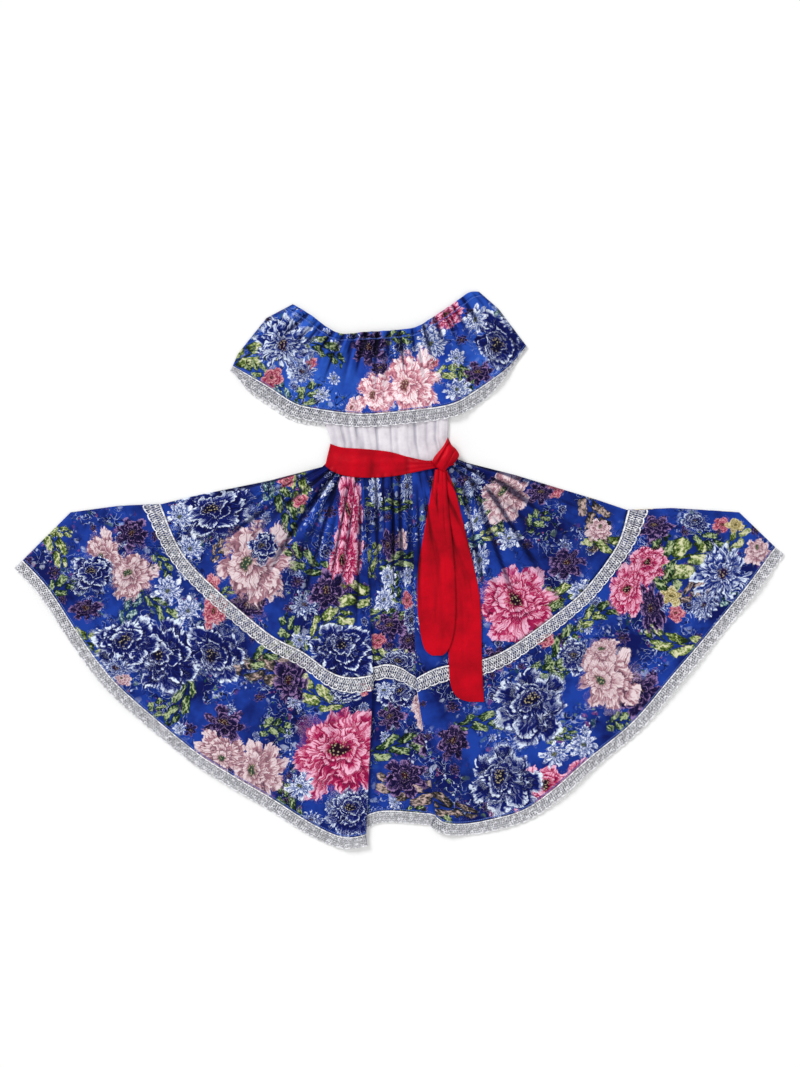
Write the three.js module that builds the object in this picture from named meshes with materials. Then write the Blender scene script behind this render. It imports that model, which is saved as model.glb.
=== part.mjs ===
// A jibara dress laid flat on its back: a printed cotton skirt in two tiers, lace on its seams
// and hems, a gathered off-shoulder ruffle, a white bodice, and a red sash tied at the waist.
// Millimetres. +X is right as seen from above, +Y runs from the hem to the neckline, +Z is up.
import * as THREE from 'three';
import { mergeVertices } from 'three/addons/utils/BufferGeometryUtils.js';

// Walls of cloth, and the small gaps that keep sewn and stacked pieces apart
const CLOTH_WALL = 1.2;
const LACE_WALL = 0.9;
const SASH_WALL = 1.5;
const SEAM_GAP = 0.35;
const LAYER_GAP = 0.4;
const HEM_LACE_WIDTH = 30;
const RUFFLE_LACE_WIDTH = 34;

// The two tucks beside the front's centre: the step from the centre up to the hidden layer,
// and from there to the top layer, and how far the top layer's rise reaches past the tuck
const TUCK_LOWER_STEP = 4.4;
const TUCK_UPPER_STEP = 2.4;
const TUCK_RISE_REACH = 62;

// Gathers at the waist and the soft folds that run on through both tiers
const GATHER_HEIGHT = 6;
const SIDE_GATHERS = 7;
const CENTRE_GATHERS = 3;
const FOLD_HEIGHT = 4.5;
const SIDE_FOLDS = 4;

// Ruffle: gathers along the neck elastic, and the waves of its lower edge
const NECK_GATHERS = 20;
const NECK_GATHER_HEIGHT = 3.5;
const RUFFLE_WAVES = 5;
const RUFFLE_WAVE_HEIGHT = 4.5;
const CASING_SHARE = 0.075;
const BACK_RUFFLE_SAG = 13;

// How finely each run of cloth is divided
const SIDE_COLUMNS = 26;
const CENTRE_COLUMNS = 12;
const BACK_COLUMNS = 28;
const RUFFLE_COLUMNS = 60;
const TURN_STEPS = 3;

// Rows down each tier, as shares of its depth; the lower tier's lace ends at LACE_SHARE
const LACE_SHARE = 0.1;
const UPPER_ROWS = [0, 0.08, 0.2, 0.4, 0.65, 0.85, 1];
const LOWER_ROWS = [0, LACE_SHARE, 0.22, 0.4, 0.6, 0.8, 1];

// Heights of the middle of each wall above the floor
const BACK_LEVEL = CLOTH_WALL / 2;
const WAIST_LIFT = SASH_WALL + LAYER_GAP;
const LACE_LIFT = LACE_WALL + LAYER_GAP;
const LAYER_STEP = CLOTH_WALL + 2 * LAYER_GAP;

// Lines across the front skirt, each as three runs [x, y] parted by the tucks. The centre run's
// first and last points lie hidden under the two side runs.
const WAIST_LOW_POINT = { x: -20, y: 259 };
const WAIST_BEND = 6.2e-4;
function waistPoints(from, to) {
  return Array.from({ length: 5 }, (_, i) => {
    const x = from + (to - from) * i / 4;
    return [x, WAIST_LOW_POINT.y + WAIST_BEND * (x - WAIST_LOW_POINT.x) ** 2];
  });
}
const WAIST = {
  left: waistPoints(-172, -89),
  centre: waistPoints(-112, 57),
  right: waistPoints(34, 141),
};
const TIER_SEAM = {
  left: [[-594, 160], [-541, 40], [-460, -47], [-326, -161], [-239, -208], [-170, -258],
    [-120, -272], [-63, -265]],
  centre: [[-94, -254], [-57, -245], [-27, -239], [7, -248], [38, -268], [74, -284]],
  right: [[43, -274], [102, -246], [208, -228], [292, -188], [426, -88], [486, -27],
    [546, 60], [573, 145]],
};
const HEM = {
  left: [[-939, 20], [-872, -52], [-802, -160], [-742, -243], [-675, -315], [-514, -452],
    [-414, -516], [-320, -572], [-206, -643], [-136, -670], [-81, -664]],
  centre: [[-118, -640], [-74, -614], [-27, -605], [59, -611], [85, -614], [124, -630]],
  right: [[94, -619], [118, -634], [169, -637], [225, -628], [312, -603], [379, -557],
    [472, -476], [586, -382], [687, -262], [774, -161], [861, -54], [941, 53]],
};

// Side edges of the skirt's tiers and of the ruffle, at shares v of the way down
const UPPER_LEFT_EDGE = [
  { v: 0, x: -172, y: 273 }, { v: 0.08, x: -190, y: 253 }, { v: 0.4, x: -326, y: 218 },
  { v: 0.85, x: -514, y: 180 }, { v: 1, x: -594, y: 160 },
];
const UPPER_RIGHT_EDGE = [
  { v: 0, x: 141, y: 276 }, { v: 0.08, x: 172, y: 264 }, { v: 0.4, x: 290, y: 234 },
  { v: 0.85, x: 500, y: 170 }, { v: 1, x: 573, y: 145 },
];
const LOWER_LEFT_EDGE = [
  { v: 0, x: -594, y: 160 }, { v: 0.22, x: -700, y: 156 }, { v: 0.6, x: -819, y: 140 },
  { v: 1, x: -939, y: 20 },
];
const LOWER_RIGHT_EDGE = [
  { v: 0, x: 573, y: 145 }, { v: 0.22, x: 690, y: 150 }, { v: 0.6, x: 851, y: 140 },
  { v: 1, x: 941, y: 53 },
];
const RUFFLE_LEFT_EDGE = [
  { v: 0, x: -264, y: 660 }, { v: 0.35, x: -330, y: 625 }, { v: 0.8, x: -401, y: 536 },
  { v: 1, x: -414, y: 506 },
];
const RUFFLE_RIGHT_EDGE = [
  { v: 0, x: 201, y: 691 }, { v: 0.4, x: 250, y: 648 }, { v: 1, x: 319, y: 556 },
];
const SKIRT_EDGE_REACH = 5;
const RUFFLE_EDGE_REACH = 3;

// The ruffle's neckline and the lower edge of its cloth
const NECKLINE = [[-264, 660], [-221, 634], [-152, 588], [-80, 590], [-14, 594], [43, 602],
  [84, 626], [135, 660], [175, 688], [201, 691]];
const RUFFLE_HEM = [[-414, 506], [-330, 458], [-261, 414], [-209, 400], [-123, 388], [-60, 387],
  [55, 398], [135, 412], [192, 444], [273, 502], [319, 556]];

// The bodice, from under the neckline to the waist seam
const BODICE_TOP = [[-200, 548], [-150, 574], [-60, 578], [40, 586], [145, 566]];
const BODICE_LEFT_EDGE = [
  { v: 0, x: -200, y: 548 }, { v: 0.65, x: -181, y: 357 }, { v: 0.85, x: -168, y: 312 },
  { v: 1, x: -172, y: 272 },
];
const BODICE_RIGHT_EDGE = [
  { v: 0, x: 145, y: 566 }, { v: 0.65, x: 124, y: 373 }, { v: 0.85, x: 122, y: 328 },
  { v: 1, x: 141, y: 276 },
];
const BODICE_WRINKLES = [
  { x: -104, width: 16, height: 2.4 }, { x: -76, width: 12, height: 3 },
  { x: -40, width: 12, height: 1.6 }, { x: 8, width: 13, height: 3 },
  { x: 30, width: 10, height: 2 }, { x: 60, width: 12, height: 1.6 },
  { x: 104, width: 13, height: 2.8 }, { x: -146, width: 14, height: 1.8 },
];

// The sash: its upper and lower edges across the front, its knot and its two tails
const SASH_TOP = [[-170, 311], [-141, 302], [-87, 298], [-23, 291], [25, 278], [80, 268], [132, 278]];
const SASH_BOTTOM = [[-183, 256], [-163, 241], [-125, 229], [-68, 226], [-4, 231], [76, 247],
  [140, 258]];
const SASH_WIDTH_ROWS = 4;
const KNOT = {
  x: 117, y: 285, halfWidth: 31, halfLength: 34, height: 20, lean: 0.15, wrap: 0.07, peak: 0.25,
};
const LEFT_TAIL = [
  { y: 246, left: 91, right: 117 }, { y: 180, left: 79, right: 122 },
  { y: 104, left: 66, right: 130 }, { y: 0, left: 49, right: 140 },
  { y: -89, left: 47, right: 143 }, { y: -156, left: 54, right: 139 },
  { y: -200, left: 65, right: 126 }, { y: -217, left: 83, right: 110 },
];
const RIGHT_TAIL = [
  { y: 245, left: 98, right: 121 }, { y: 196, left: 99, right: 140 },
  { y: 115, left: 104, right: 161 }, { y: 12, left: 112, right: 186 },
  { y: -64, left: 118, right: 202 }, { y: -140, left: 123, right: 207 },
  { y: -217, left: 125, right: 208 }, { y: -290, left: 130, right: 211 },
  { y: -322, left: 148, right: 213 }, { y: -333, left: 176, right: 214 },
];
const TAIL_COLUMNS = 6;
const TAIL_ROWS = 18;
const TAIL_PLEAT_HEIGHT = 3;
const MERGE_DISTANCE = 1e-4;

const cotton = colour => new THREE.MeshStandardMaterial({ color: colour, roughness: 0.75 });
const PRINTED = cotton('#2947b4');
const LACE = cotton('#d9dce6');
const WHITE = cotton('#eceaf0');
const RED = new THREE.MeshStandardMaterial({ color: '#c01228', roughness: 0.5 });

const dress = new THREE.Group();
const placedTops = [];

const smooth = (low, high, value) => THREE.MathUtils.smoothstep(value, low, high);
const curveThrough = points => new THREE.SplineCurve(points.map(([x, y]) => new THREE.Vector2(x, y)));
const mix = (a, b, share) => a + (b - a) * share;

// Runs of a line across the skirt, as curves measured by length
function runsOf(line) {
  return {
    left: curveThrough(line.left),
    centre: curveThrough(line.centre),
    right: curveThrough(line.right),
  };
}

// The same points moved out to the right of their direction, which is towards the hem
function movedOut(points, distance) {
  return points.map(([x, y], i) => {
    const [x0, y0] = points[Math.max(i - 1, 0)];
    const [x1, y1] = points[Math.min(i + 1, points.length - 1)];
    const length = Math.hypot(x1 - x0, y1 - y0);
    return [x + distance * (y1 - y0) / length, y - distance * (x1 - x0) / length];
  });
}

// How far a side edge lies from the straight line between its ends, at a share of the way down
function edgeShift(edge, v) {
  if (!edge) return new THREE.Vector2();
  const first = edge[0];
  const last = edge[edge.length - 1];
  let i = 1;
  while (i < edge.length - 1 && edge[i].v < v) i += 1;
  const share = (v - edge[i - 1].v) / (edge[i].v - edge[i - 1].v);
  return new THREE.Vector2(
    mix(edge[i - 1].x, edge[i].x, share) - mix(first.x, last.x, v),
    mix(edge[i - 1].y, edge[i].y, share) - mix(first.y, last.y, v),
  );
}

// A flat patch between a top and a bottom curve; its sides follow their edges
function patch({ top, bottom, leftEdge, rightEdge, reach }) {
  return (t, v) => top.getPointAt(t).lerp(bottom.getPointAt(t), v)
    .addScaledVector(edgeShift(leftEdge, v), (1 - t) ** reach)
    .addScaledVector(edgeShift(rightEdge, v), t ** reach);
}

// Upward normal at every point of a grid of rows
function gridNormals(grid) {
  return grid.map((row, r) => row.map((point, c) => {
    const above = grid[Math.max(r - 1, 0)][c];
    const below = grid[Math.min(r + 1, grid.length - 1)][c];
    const across = new THREE.Vector3().subVectors(
      row[Math.min(c + 1, row.length - 1)],
      row[Math.max(c - 1, 0)],
    );
    return new THREE.Vector3().subVectors(below, above).cross(across).normalize();
  }));
}

// A grid moved along its normals, for what is sewn on top of it
function raised(grid, distance) {
  const normals = gridNormals(grid);
  return grid.map((row, r) => row.map((point, c) => point.clone().addScaledVector(normals[r][c], distance)));
}

// A closed cloth wall around a grid of points at the middle of its thickness
function wallGeometry(grid, thickness) {
  const rows = grid.length;
  const columns = grid[0].length;
  const layers = [raised(grid, thickness / 2), raised(grid, -thickness / 2)];
  const positions = layers.flat(2).flatMap(point => [point.x, point.y, point.z]);
  const index = (layer, r, c) => layer * rows * columns + r * columns + c;
  const faces = [];
  const quad = (a, b, c, d) => faces.push(a, b, c, a, c, d);
  for (let r = 0; r < rows - 1; r += 1) {
    for (let c = 0; c < columns - 1; c += 1) {
      quad(index(0, r, c), index(0, r + 1, c), index(0, r + 1, c + 1), index(0, r, c + 1));
      quad(index(1, r, c), index(1, r, c + 1), index(1, r + 1, c + 1), index(1, r + 1, c));
    }
    const last = columns - 1;
    quad(index(0, r, 0), index(1, r, 0), index(1, r + 1, 0), index(0, r + 1, 0));
    quad(index(0, r, last), index(0, r + 1, last), index(1, r + 1, last), index(1, r, last));
  }
  for (let c = 0; c < columns - 1; c += 1) {
    const last = rows - 1;
    quad(index(0, 0, c), index(0, 0, c + 1), index(1, 0, c + 1), index(1, 0, c));
    quad(index(0, last, c), index(1, last, c), index(1, last, c + 1), index(0, last, c + 1));
  }
  const geometry = new THREE.BufferGeometry();
  geometry.setAttribute('position', new THREE.Float32BufferAttribute(positions, 3));
  geometry.setIndex(faces);
  return geometry;
}

// Adds a solid to the dress and keeps its upward faces, for what is laid over it later
function addSolid(name, geometry, material) {
  const solid = new THREE.Mesh(geometry, material);
  solid.name = name;
  dress.add(solid);
  const position = geometry.getAttribute('position');
  const corners = [0, 1, 2].map(() => new THREE.Vector3());
  for (let i = 0; i < geometry.index.count; i += 3) {
    corners.forEach((corner, k) => corner.fromBufferAttribute(position, geometry.index.getX(i + k)));
    const [a, b, c] = corners;
    const area = (b.x - a.x) * (c.y - a.y) - (b.y - a.y) * (c.x - a.x);
    if (area > 0) placedTops.push({ a: a.clone(), b: b.clone(), c: c.clone(), area });
  }
}

function addWall(name, grid, thickness, material) {
  addSolid(name, wallGeometry(grid, thickness), material);
}

// The highest face at a point of the pieces placed so far, or 0 for the floor
function topAt(x, y) {
  let height = 0;
  for (const { a, b, c, area } of placedTops) {
    const toA = (b.x - x) * (c.y - y) - (b.y - y) * (c.x - x);
    const toB = (c.x - x) * (a.y - y) - (c.y - y) * (a.x - x);
    const toC = area - toA - toB;
    if (toA < 0 || toB < 0 || toC < 0) continue;
    height = Math.max(height, (toA * a.z + toB * b.z + toC * c.z) / area);
  }
  return height;
}

// The height at which cloth comes to rest over a small area round a point
function restHeight(x, y, reachX, reachY) {
  const samples = 3;
  let height = 0;
  for (let i = -samples; i <= samples; i += 1) {
    for (let j = -samples; j <= samples; j += 1) {
      height = Math.max(height, topAt(x + i / samples * reachX, y + j / samples * reachY));
    }
  }
  return height;
}

// How far the back, and with it the front, is lifted by the sash and lace beneath it. The
// share runs from 0 at the waist over 1 at the tier seam to 2 at the hem.
function liftAt(share) {
  const overSash = WAIST_LIFT * (1 - smooth(0.08, 0.4, share));
  const overLace = LACE_LIFT * Math.min(smooth(0.85, 1, share), 1 - smooth(1 + LACE_SHARE, 1.22, share));
  return Math.max(overSash, overLace);
}

// Gathers at the waist and soft folds further down; t runs from the side edge to the tuck
function waveAt(t, share, gathers, folds) {
  const flat = smooth(0, 0.06, t) * (1 - smooth(0.78, 0.9, t));
  const ridge = Math.sin(Math.PI * gathers * (t + 0.02 * Math.sin(9 * t))) ** 2;
  const swell = Math.sin(Math.PI * folds * (t + 0.05 * Math.sin(7 * t))) ** 2;
  const underSash = 0.45 + 0.55 * smooth(0.04, 0.2, share);
  const gatherHeight = GATHER_HEIGHT * underSash * (1 - smooth(0.15, 1.1, share));
  return flat * (gatherHeight * ridge + FOLD_HEIGHT * smooth(0.3, 1.5, share) * swell);
}

// Points round a half turn of a tuck, whose outermost point is the hinge
function turn(hinge, direction, radius, middle, startsHigh) {
  const points = [];
  for (let i = 0; i <= TURN_STEPS; i += 1) {
    const angle = (startsHigh ? 1 : -1) * Math.PI * (0.5 - i / TURN_STEPS);
    const along = radius * (Math.cos(angle) - 1);
    points.push(new THREE.Vector3(
      hinge.x + direction.x * along,
      hinge.y + direction.y * along,
      middle + radius * Math.sin(angle),
    ));
  }
  return points;
}

// One row across the front skirt: left side, tuck, centre, tuck, right side
function tuckedRow(place, v, share) {
  const level = BACK_LEVEL + LAYER_STEP + liftAt(share);
  const middle = level + TUCK_LOWER_STEP;
  const upperRadius = TUCK_UPPER_STEP / 2;
  const lowerRadius = TUCK_LOWER_STEP / 2;
  const ends = {
    left: { hinge: place('left', 1, v), hidden: place('centre', 0, v) },
    right: { hinge: place('right', 0, v), hidden: place('centre', 1, v) },
  };
  const sideRun = (side, i) => {
    const fromEdge = i / SIDE_COLUMNS;
    const point = place(side, side === 'left' ? fromEdge : 1 - fromEdge, v);
    const { hinge, hidden } = ends[side];
    const overlap = hinge.distanceTo(hidden);
    const rise = (TUCK_LOWER_STEP + TUCK_UPPER_STEP)
      * (1 - smooth(overlap + 5, overlap + TUCK_RISE_REACH, point.distanceTo(hinge)));
    const wave = waveAt(fromEdge, share, SIDE_GATHERS, SIDE_FOLDS);
    return new THREE.Vector3(point.x, point.y, level + rise + wave);
  };
  const tuck = side => {
    const { hinge, hidden } = ends[side];
    const outward = hinge.clone().sub(hidden).normalize();
    const inward = outward.clone().negate();
    return [
      ...turn(hinge, outward, upperRadius, middle + upperRadius, true),
      ...turn(hidden, inward, lowerRadius, level + lowerRadius, true),
    ];
  };
  const row = [];
  for (let i = 0; i < SIDE_COLUMNS; i += 1) row.push(sideRun('left', i));
  row.push(...tuck('left'));
  for (let i = 1; i < CENTRE_COLUMNS; i += 1) {
    const t = i / CENTRE_COLUMNS;
    const point = place('centre', t, v);
    const open = smooth(0.2, 0.34, t) * (1 - smooth(0.66, 0.8, t));
    const height = GATHER_HEIGHT * 0.6 * (1 - smooth(0.2, 0.75, share));
    const ridge = Math.sin(Math.PI * CENTRE_GATHERS * t) ** 2;
    row.push(new THREE.Vector3(point.x, point.y, level + open * height * ridge));
  }
  row.push(...tuck('right').reverse());
  for (let i = SIDE_COLUMNS - 1; i >= 0; i -= 1) row.push(sideRun('right', i));
  return row;
}

// Where a point of the front lies between two lines across the skirt
function frontPlace(top, bottom, leftEdge, rightEdge) {
  const patches = {
    left: patch({ top: top.left, bottom: bottom.left, leftEdge, reach: SKIRT_EDGE_REACH }),
    centre: patch({ top: top.centre, bottom: bottom.centre, reach: SKIRT_EDGE_REACH }),
    right: patch({ top: top.right, bottom: bottom.right, rightEdge, reach: SKIRT_EDGE_REACH }),
  };
  return (part, t, v) => patches[part](t, v);
}

// Rows with a small gap kept at the seam, for a tier that starts or ends there
const withSeam = (rows, depth, atStart) => rows.map((v) => {
  const atSeam = atStart ? v === 0 : v === 1;
  return atSeam ? v + (atStart ? 1 : -1) * SEAM_GAP / 2 / depth : v;
});
const UPPER_DEPTH = 430;
const LOWER_DEPTH = 330;
const upperRows = withSeam(UPPER_ROWS, UPPER_DEPTH, false);
const lowerRows = withSeam(withSeam(LOWER_ROWS, LOWER_DEPTH, true), LOWER_DEPTH, false);
const hemLaceRows = [SEAM_GAP / 2 / HEM_LACE_WIDTH, 1];

function outwardLine(line, distance) {
  return {
    left: movedOut(line.left, distance),
    centre: movedOut(line.centre, distance),
    right: movedOut(line.right, distance),
  };
}

function addSkirtFront() {
  const waist = runsOf(WAIST);
  const seam = runsOf(TIER_SEAM);
  const hem = runsOf(HEM);
  const laceEdge = runsOf(outwardLine(HEM, HEM_LACE_WIDTH));
  const upper = frontPlace(waist, seam, UPPER_LEFT_EDGE, UPPER_RIGHT_EDGE);
  const lower = frontPlace(seam, hem, LOWER_LEFT_EDGE, LOWER_RIGHT_EDGE);
  const beyond = frontPlace(hem, laceEdge);
  const upperGrid = upperRows.map(v => tuckedRow(upper, v, v));
  const lowerGrid = lowerRows.map(v => tuckedRow(lower, v, 1 + v));
  const hemGrid = hemLaceRows.map(v => tuckedRow(beyond, v, 2));
  addWall('upper_tier_front', upperGrid, CLOTH_WALL, PRINTED);
  addWall('lower_tier_front', lowerGrid, CLOTH_WALL, PRINTED);
  const onTier = CLOTH_WALL / 2 + LAYER_GAP + LACE_WALL / 2;
  addWall('tier_lace_front', raised(lowerGrid, onTier).slice(0, 2), LACE_WALL, LACE);
  addWall('hem_lace_front', hemGrid, LACE_WALL, LACE);
}

// The back has the front's outline without its tucks, drawn in a little
const BACK_INSET = 0.992;
const WAIST_CENTRE = new THREE.Vector2(-20, 262);

function backLine(line) {
  const points = [...line.left.slice(0, -1), ...line.centre.slice(1, -1), ...line.right.slice(1)];
  return points;
}

function drawnIn(place) {
  return (t, v) => place(t, v).sub(WAIST_CENTRE).multiplyScalar(BACK_INSET).add(WAIST_CENTRE);
}

function flatGrid(place, rows, columns, heightAt) {
  return rows.map(v => Array.from({ length: columns + 1 }, (_, i) => {
    const point = place(i / columns, v);
    return new THREE.Vector3(point.x, point.y, heightAt(v, i / columns, point));
  }));
}

function addSkirtBack() {
  const waist = curveThrough(backLine(WAIST));
  const seam = curveThrough(backLine(TIER_SEAM));
  const hemPoints = backLine(HEM);
  const hem = curveThrough(hemPoints);
  const laceEdge = curveThrough(movedOut(hemPoints, HEM_LACE_WIDTH));
  const reach = 2 * SKIRT_EDGE_REACH;
  const edges = { leftEdge: UPPER_LEFT_EDGE, rightEdge: UPPER_RIGHT_EDGE };
  const upper = drawnIn(patch({ top: waist, bottom: seam, reach, ...edges }));
  const lowerEdges = { leftEdge: LOWER_LEFT_EDGE, rightEdge: LOWER_RIGHT_EDGE };
  const lower = drawnIn(patch({ top: seam, bottom: hem, reach, ...lowerEdges }));
  const beyond = drawnIn(patch({ top: hem, bottom: laceEdge, reach }));
  const laceLevel = LACE_WALL / 2;
  const laceRows = lowerRows.slice(0, 2);
  const upperHeight = v => BACK_LEVEL + liftAt(v);
  const lowerHeight = v => BACK_LEVEL + liftAt(1 + v);
  addWall('upper_tier_back', flatGrid(upper, upperRows, BACK_COLUMNS, upperHeight), CLOTH_WALL, PRINTED);
  addWall('lower_tier_back', flatGrid(lower, lowerRows, BACK_COLUMNS, lowerHeight), CLOTH_WALL, PRINTED);
  addWall('tier_lace_back', flatGrid(lower, laceRows, BACK_COLUMNS, () => laceLevel), LACE_WALL, LACE);
  addWall('hem_lace_back', flatGrid(beyond, hemLaceRows, BACK_COLUMNS, () => laceLevel), LACE_WALL, LACE);
}

function addBodice() {
  const place = patch({
    top: curveThrough(BODICE_TOP),
    bottom: curveThrough(waistPoints(-172, 141)),
    leftEdge: BODICE_LEFT_EDGE,
    rightEdge: BODICE_RIGHT_EDGE,
    reach: RUFFLE_EDGE_REACH,
  });
  const bodiceDepth = 300;
  const rows = [0, 0.3, 0.6, 0.85, 1 - SEAM_GAP / bodiceDepth];
  const backHeight = BACK_LEVEL + WAIST_LIFT;
  const wrinkled = (v, t, point) => {
    const showing = smooth(0.4, 0.75, v) * (1 - 0.5 * smooth(0.8, 1, v));
    const rise = BODICE_WRINKLES.reduce(
      (sum, fold) => sum + fold.height * Math.exp(-(((point.x - fold.x) / fold.width * 2) ** 2)),
      0,
    );
    return backHeight + LAYER_STEP + showing * rise;
  };
  addWall('bodice_back', flatGrid(place, rows, 12, () => backHeight), CLOTH_WALL, WHITE);
  addWall('bodice_front', flatGrid(place, rows, 36, wrinkled), CLOTH_WALL, WHITE);
}

const ruffleDepth = 200;
const casingRows = [0, CASING_SHARE - SEAM_GAP / ruffleDepth];
const ruffleRows = [CASING_SHARE, 0.22, 0.42, 0.7, 1 - SEAM_GAP / 2 / ruffleDepth];
const rufflePatch = patch({
  top: curveThrough(NECKLINE),
  bottom: curveThrough(RUFFLE_HEM),
  leftEdge: RUFFLE_LEFT_EDGE,
  rightEdge: RUFFLE_RIGHT_EDGE,
  reach: RUFFLE_EDGE_REACH,
});

// Lace below the ruffle, which narrows to its ends where it turns under
function ruffleLacePlace() {
  const hem = curveThrough(RUFFLE_HEM);
  const outer = curveThrough(movedOut(RUFFLE_HEM, RUFFLE_LACE_WIDTH));
  return (t, v) => {
    const taper = (0.45 + 0.55 * smooth(0, 0.08, t)) * (1 - 0.85 * smooth(0.78, 0.96, t));
    return hem.getPointAt(t).lerp(outer.getPointAt(t), v * taper + SEAM_GAP / 2 / RUFFLE_LACE_WIDTH);
  };
}

function addRuffleBack() {
  const columns = RUFFLE_COLUMNS / 2;
  const centre = new THREE.Vector2(-45, 560);
  const sagged = new THREE.Vector2(0, -BACK_RUFFLE_SAG);
  const inset = (place, drop) => (t, v) => place(t, v).sub(centre).multiplyScalar(BACK_INSET).add(centre)
    .addScaledVector(sagged, drop(v) * smooth(0, 0.12, t) * (1 - smooth(0.25, 0.4, t)));
  const cloth = inset(rufflePatch, v => v * v);
  const lacePlace = inset(ruffleLacePlace(), () => 1);
  const level = () => BACK_LEVEL;
  const laceLevel = () => LACE_WALL / 2;
  addWall('neck_casing_back', flatGrid(cloth, casingRows, columns, level), CLOTH_WALL, PRINTED);
  addWall('ruffle_back', flatGrid(cloth, ruffleRows, columns, level), CLOTH_WALL, PRINTED);
  const lace = flatGrid(lacePlace, [0, 1], columns, laceLevel);
  addWall('ruffle_lace_back', lace, LACE_WALL, LACE);
}

// Gathers from the neck elastic, and the waves that they open into at the ruffle's hem
function ruffleWave(v, t) {
  const ends = smooth(0, 0.04, t) * (1 - smooth(0.96, 1, t));
  const gathers = Math.sin(Math.PI * NECK_GATHERS * (t + 0.01 * Math.sin(11 * t))) ** 2;
  const waves = Math.sin(Math.PI * RUFFLE_WAVES * (t + 0.05 * Math.sin(8 * t))) ** 2;
  return ends * (NECK_GATHER_HEIGHT * (1 - smooth(0.05, 0.75, v)) * gathers
    + RUFFLE_WAVE_HEIGHT * smooth(0.1, 1, v) * waves);
}

function addRuffleFront() {
  const restAt = point => restHeight(point.x, point.y, 14, 30) + LAYER_GAP;
  const height = (v, t, point) => restAt(point) + CLOTH_WALL / 2 + ruffleWave(v, t);
  const laceHeight = (v, t, point) => restAt(point) + CLOTH_WALL / 2 + ruffleWave(1, t);
  const casing = flatGrid(rufflePatch, casingRows, RUFFLE_COLUMNS, height);
  const ruffle = flatGrid(rufflePatch, ruffleRows, RUFFLE_COLUMNS, height);
  const lace = flatGrid(ruffleLacePlace(), [0, 1], RUFFLE_COLUMNS, laceHeight);
  addWall('neck_casing_front', casing, CLOTH_WALL, PRINTED);
  addWall('ruffle_front', ruffle, CLOTH_WALL, PRINTED);
  addWall('ruffle_lace_front', lace, LACE_WALL, LACE);
}

function sashPlace() {
  return patch({ top: curveThrough(SASH_TOP), bottom: curveThrough(SASH_BOTTOM), reach: 1 });
}

function addSashBack() {
  const rows = [0, 1];
  const band = flatGrid(sashPlace(), rows, 14, () => SASH_WALL / 2);
  addWall('sash_band_back', band, SASH_WALL, RED);
}

function addSashFront() {
  const rows = Array.from({ length: SASH_WIDTH_ROWS + 1 }, (_, i) => i / SASH_WIDTH_ROWS);
  const height = (v, t, point) => restHeight(point.x, point.y, 10, 12) + 2 * LAYER_GAP + SASH_WALL / 2;
  addWall('sash_band_front', flatGrid(sashPlace(), rows, 22, height), SASH_WALL, RED);
}

// A tail lies over whatever is under it, with lengthwise pleats that fade from the knot
function addTail(name, outline, pleats) {
  const left = curveThrough(outline.map(row => [row.left, row.y]));
  const right = curveThrough(outline.map(row => [row.right, row.y]));
  const place = (t, v) => left.getPoint(v).lerp(right.getPoint(v), t);
  const rows = Array.from({ length: TAIL_ROWS + 1 }, (_, i) => i / TAIL_ROWS);
  const height = (v, t, point) => {
    const pleat = TAIL_PLEAT_HEIGHT * (1 - smooth(0.1, 0.9, v)) * Math.sin(Math.PI * pleats * t) ** 2;
    return restHeight(point.x, point.y, 12, 20) + 2 * LAYER_GAP + SASH_WALL / 2 + pleat;
  };
  addWall(name, flatGrid(place, rows, TAIL_COLUMNS, height), SASH_WALL, RED);
}

// The knot: a wrapped lump that rises to a peak, flat below where it presses on the band
function addKnot() {
  const ball = new THREE.SphereGeometry(1, 20, 12);
  ball.deleteAttribute('normal');
  ball.deleteAttribute('uv');
  const geometry = mergeVertices(ball, MERGE_DISTANCE);
  const reach = { x: 0.8 * KNOT.halfWidth, y: 0.7 * KNOT.halfLength };
  const floor = restHeight(KNOT.x, KNOT.y, reach.x, reach.y) + LAYER_GAP;
  const position = geometry.getAttribute('position');
  for (let i = 0; i < position.count; i += 1) {
    const point = new THREE.Vector3().fromBufferAttribute(position, i);
    const wrap = 1 + KNOT.wrap * Math.sin(5 * point.y + 4 * point.x);
    const peak = 1 + KNOT.peak * Math.max(point.y, 0) ** 4;
    const narrowing = 1 - KNOT.peak * Math.max(point.y, 0) ** 2;
    position.setXYZ(
      i,
      KNOT.x + KNOT.halfWidth * (wrap * narrowing * point.x + KNOT.lean * point.y),
      KNOT.y + KNOT.halfLength * wrap * peak * point.y,
      floor + Math.max(0, KNOT.height * (0.35 + 0.65 * wrap * point.z)),
    );
  }
  addSolid('sash_knot', geometry, RED);
}

addSashBack();
addSkirtBack();
addRuffleBack();
addBodice();
addSkirtFront();
addRuffleFront();
addSashFront();
addTail('sash_tail_right', RIGHT_TAIL, 2);
addTail('sash_tail_left', LEFT_TAIL, 2);
addKnot();

const size = new THREE.Box3().setFromObject(dress);
const middleOfDress = size.getCenter(new THREE.Vector3());
dress.position.set(-middleOfDress.x, -middleOfDress.y, -size.min.z);

export default dress;
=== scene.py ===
"""Dresses the solids of a jibara dress that lies flat: printed cotton, lace, white bodice, red sash."""
import math

import bmesh
import bpy
import numpy as np
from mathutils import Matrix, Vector
from mathutils.bvhtree import BVHTree


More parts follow.
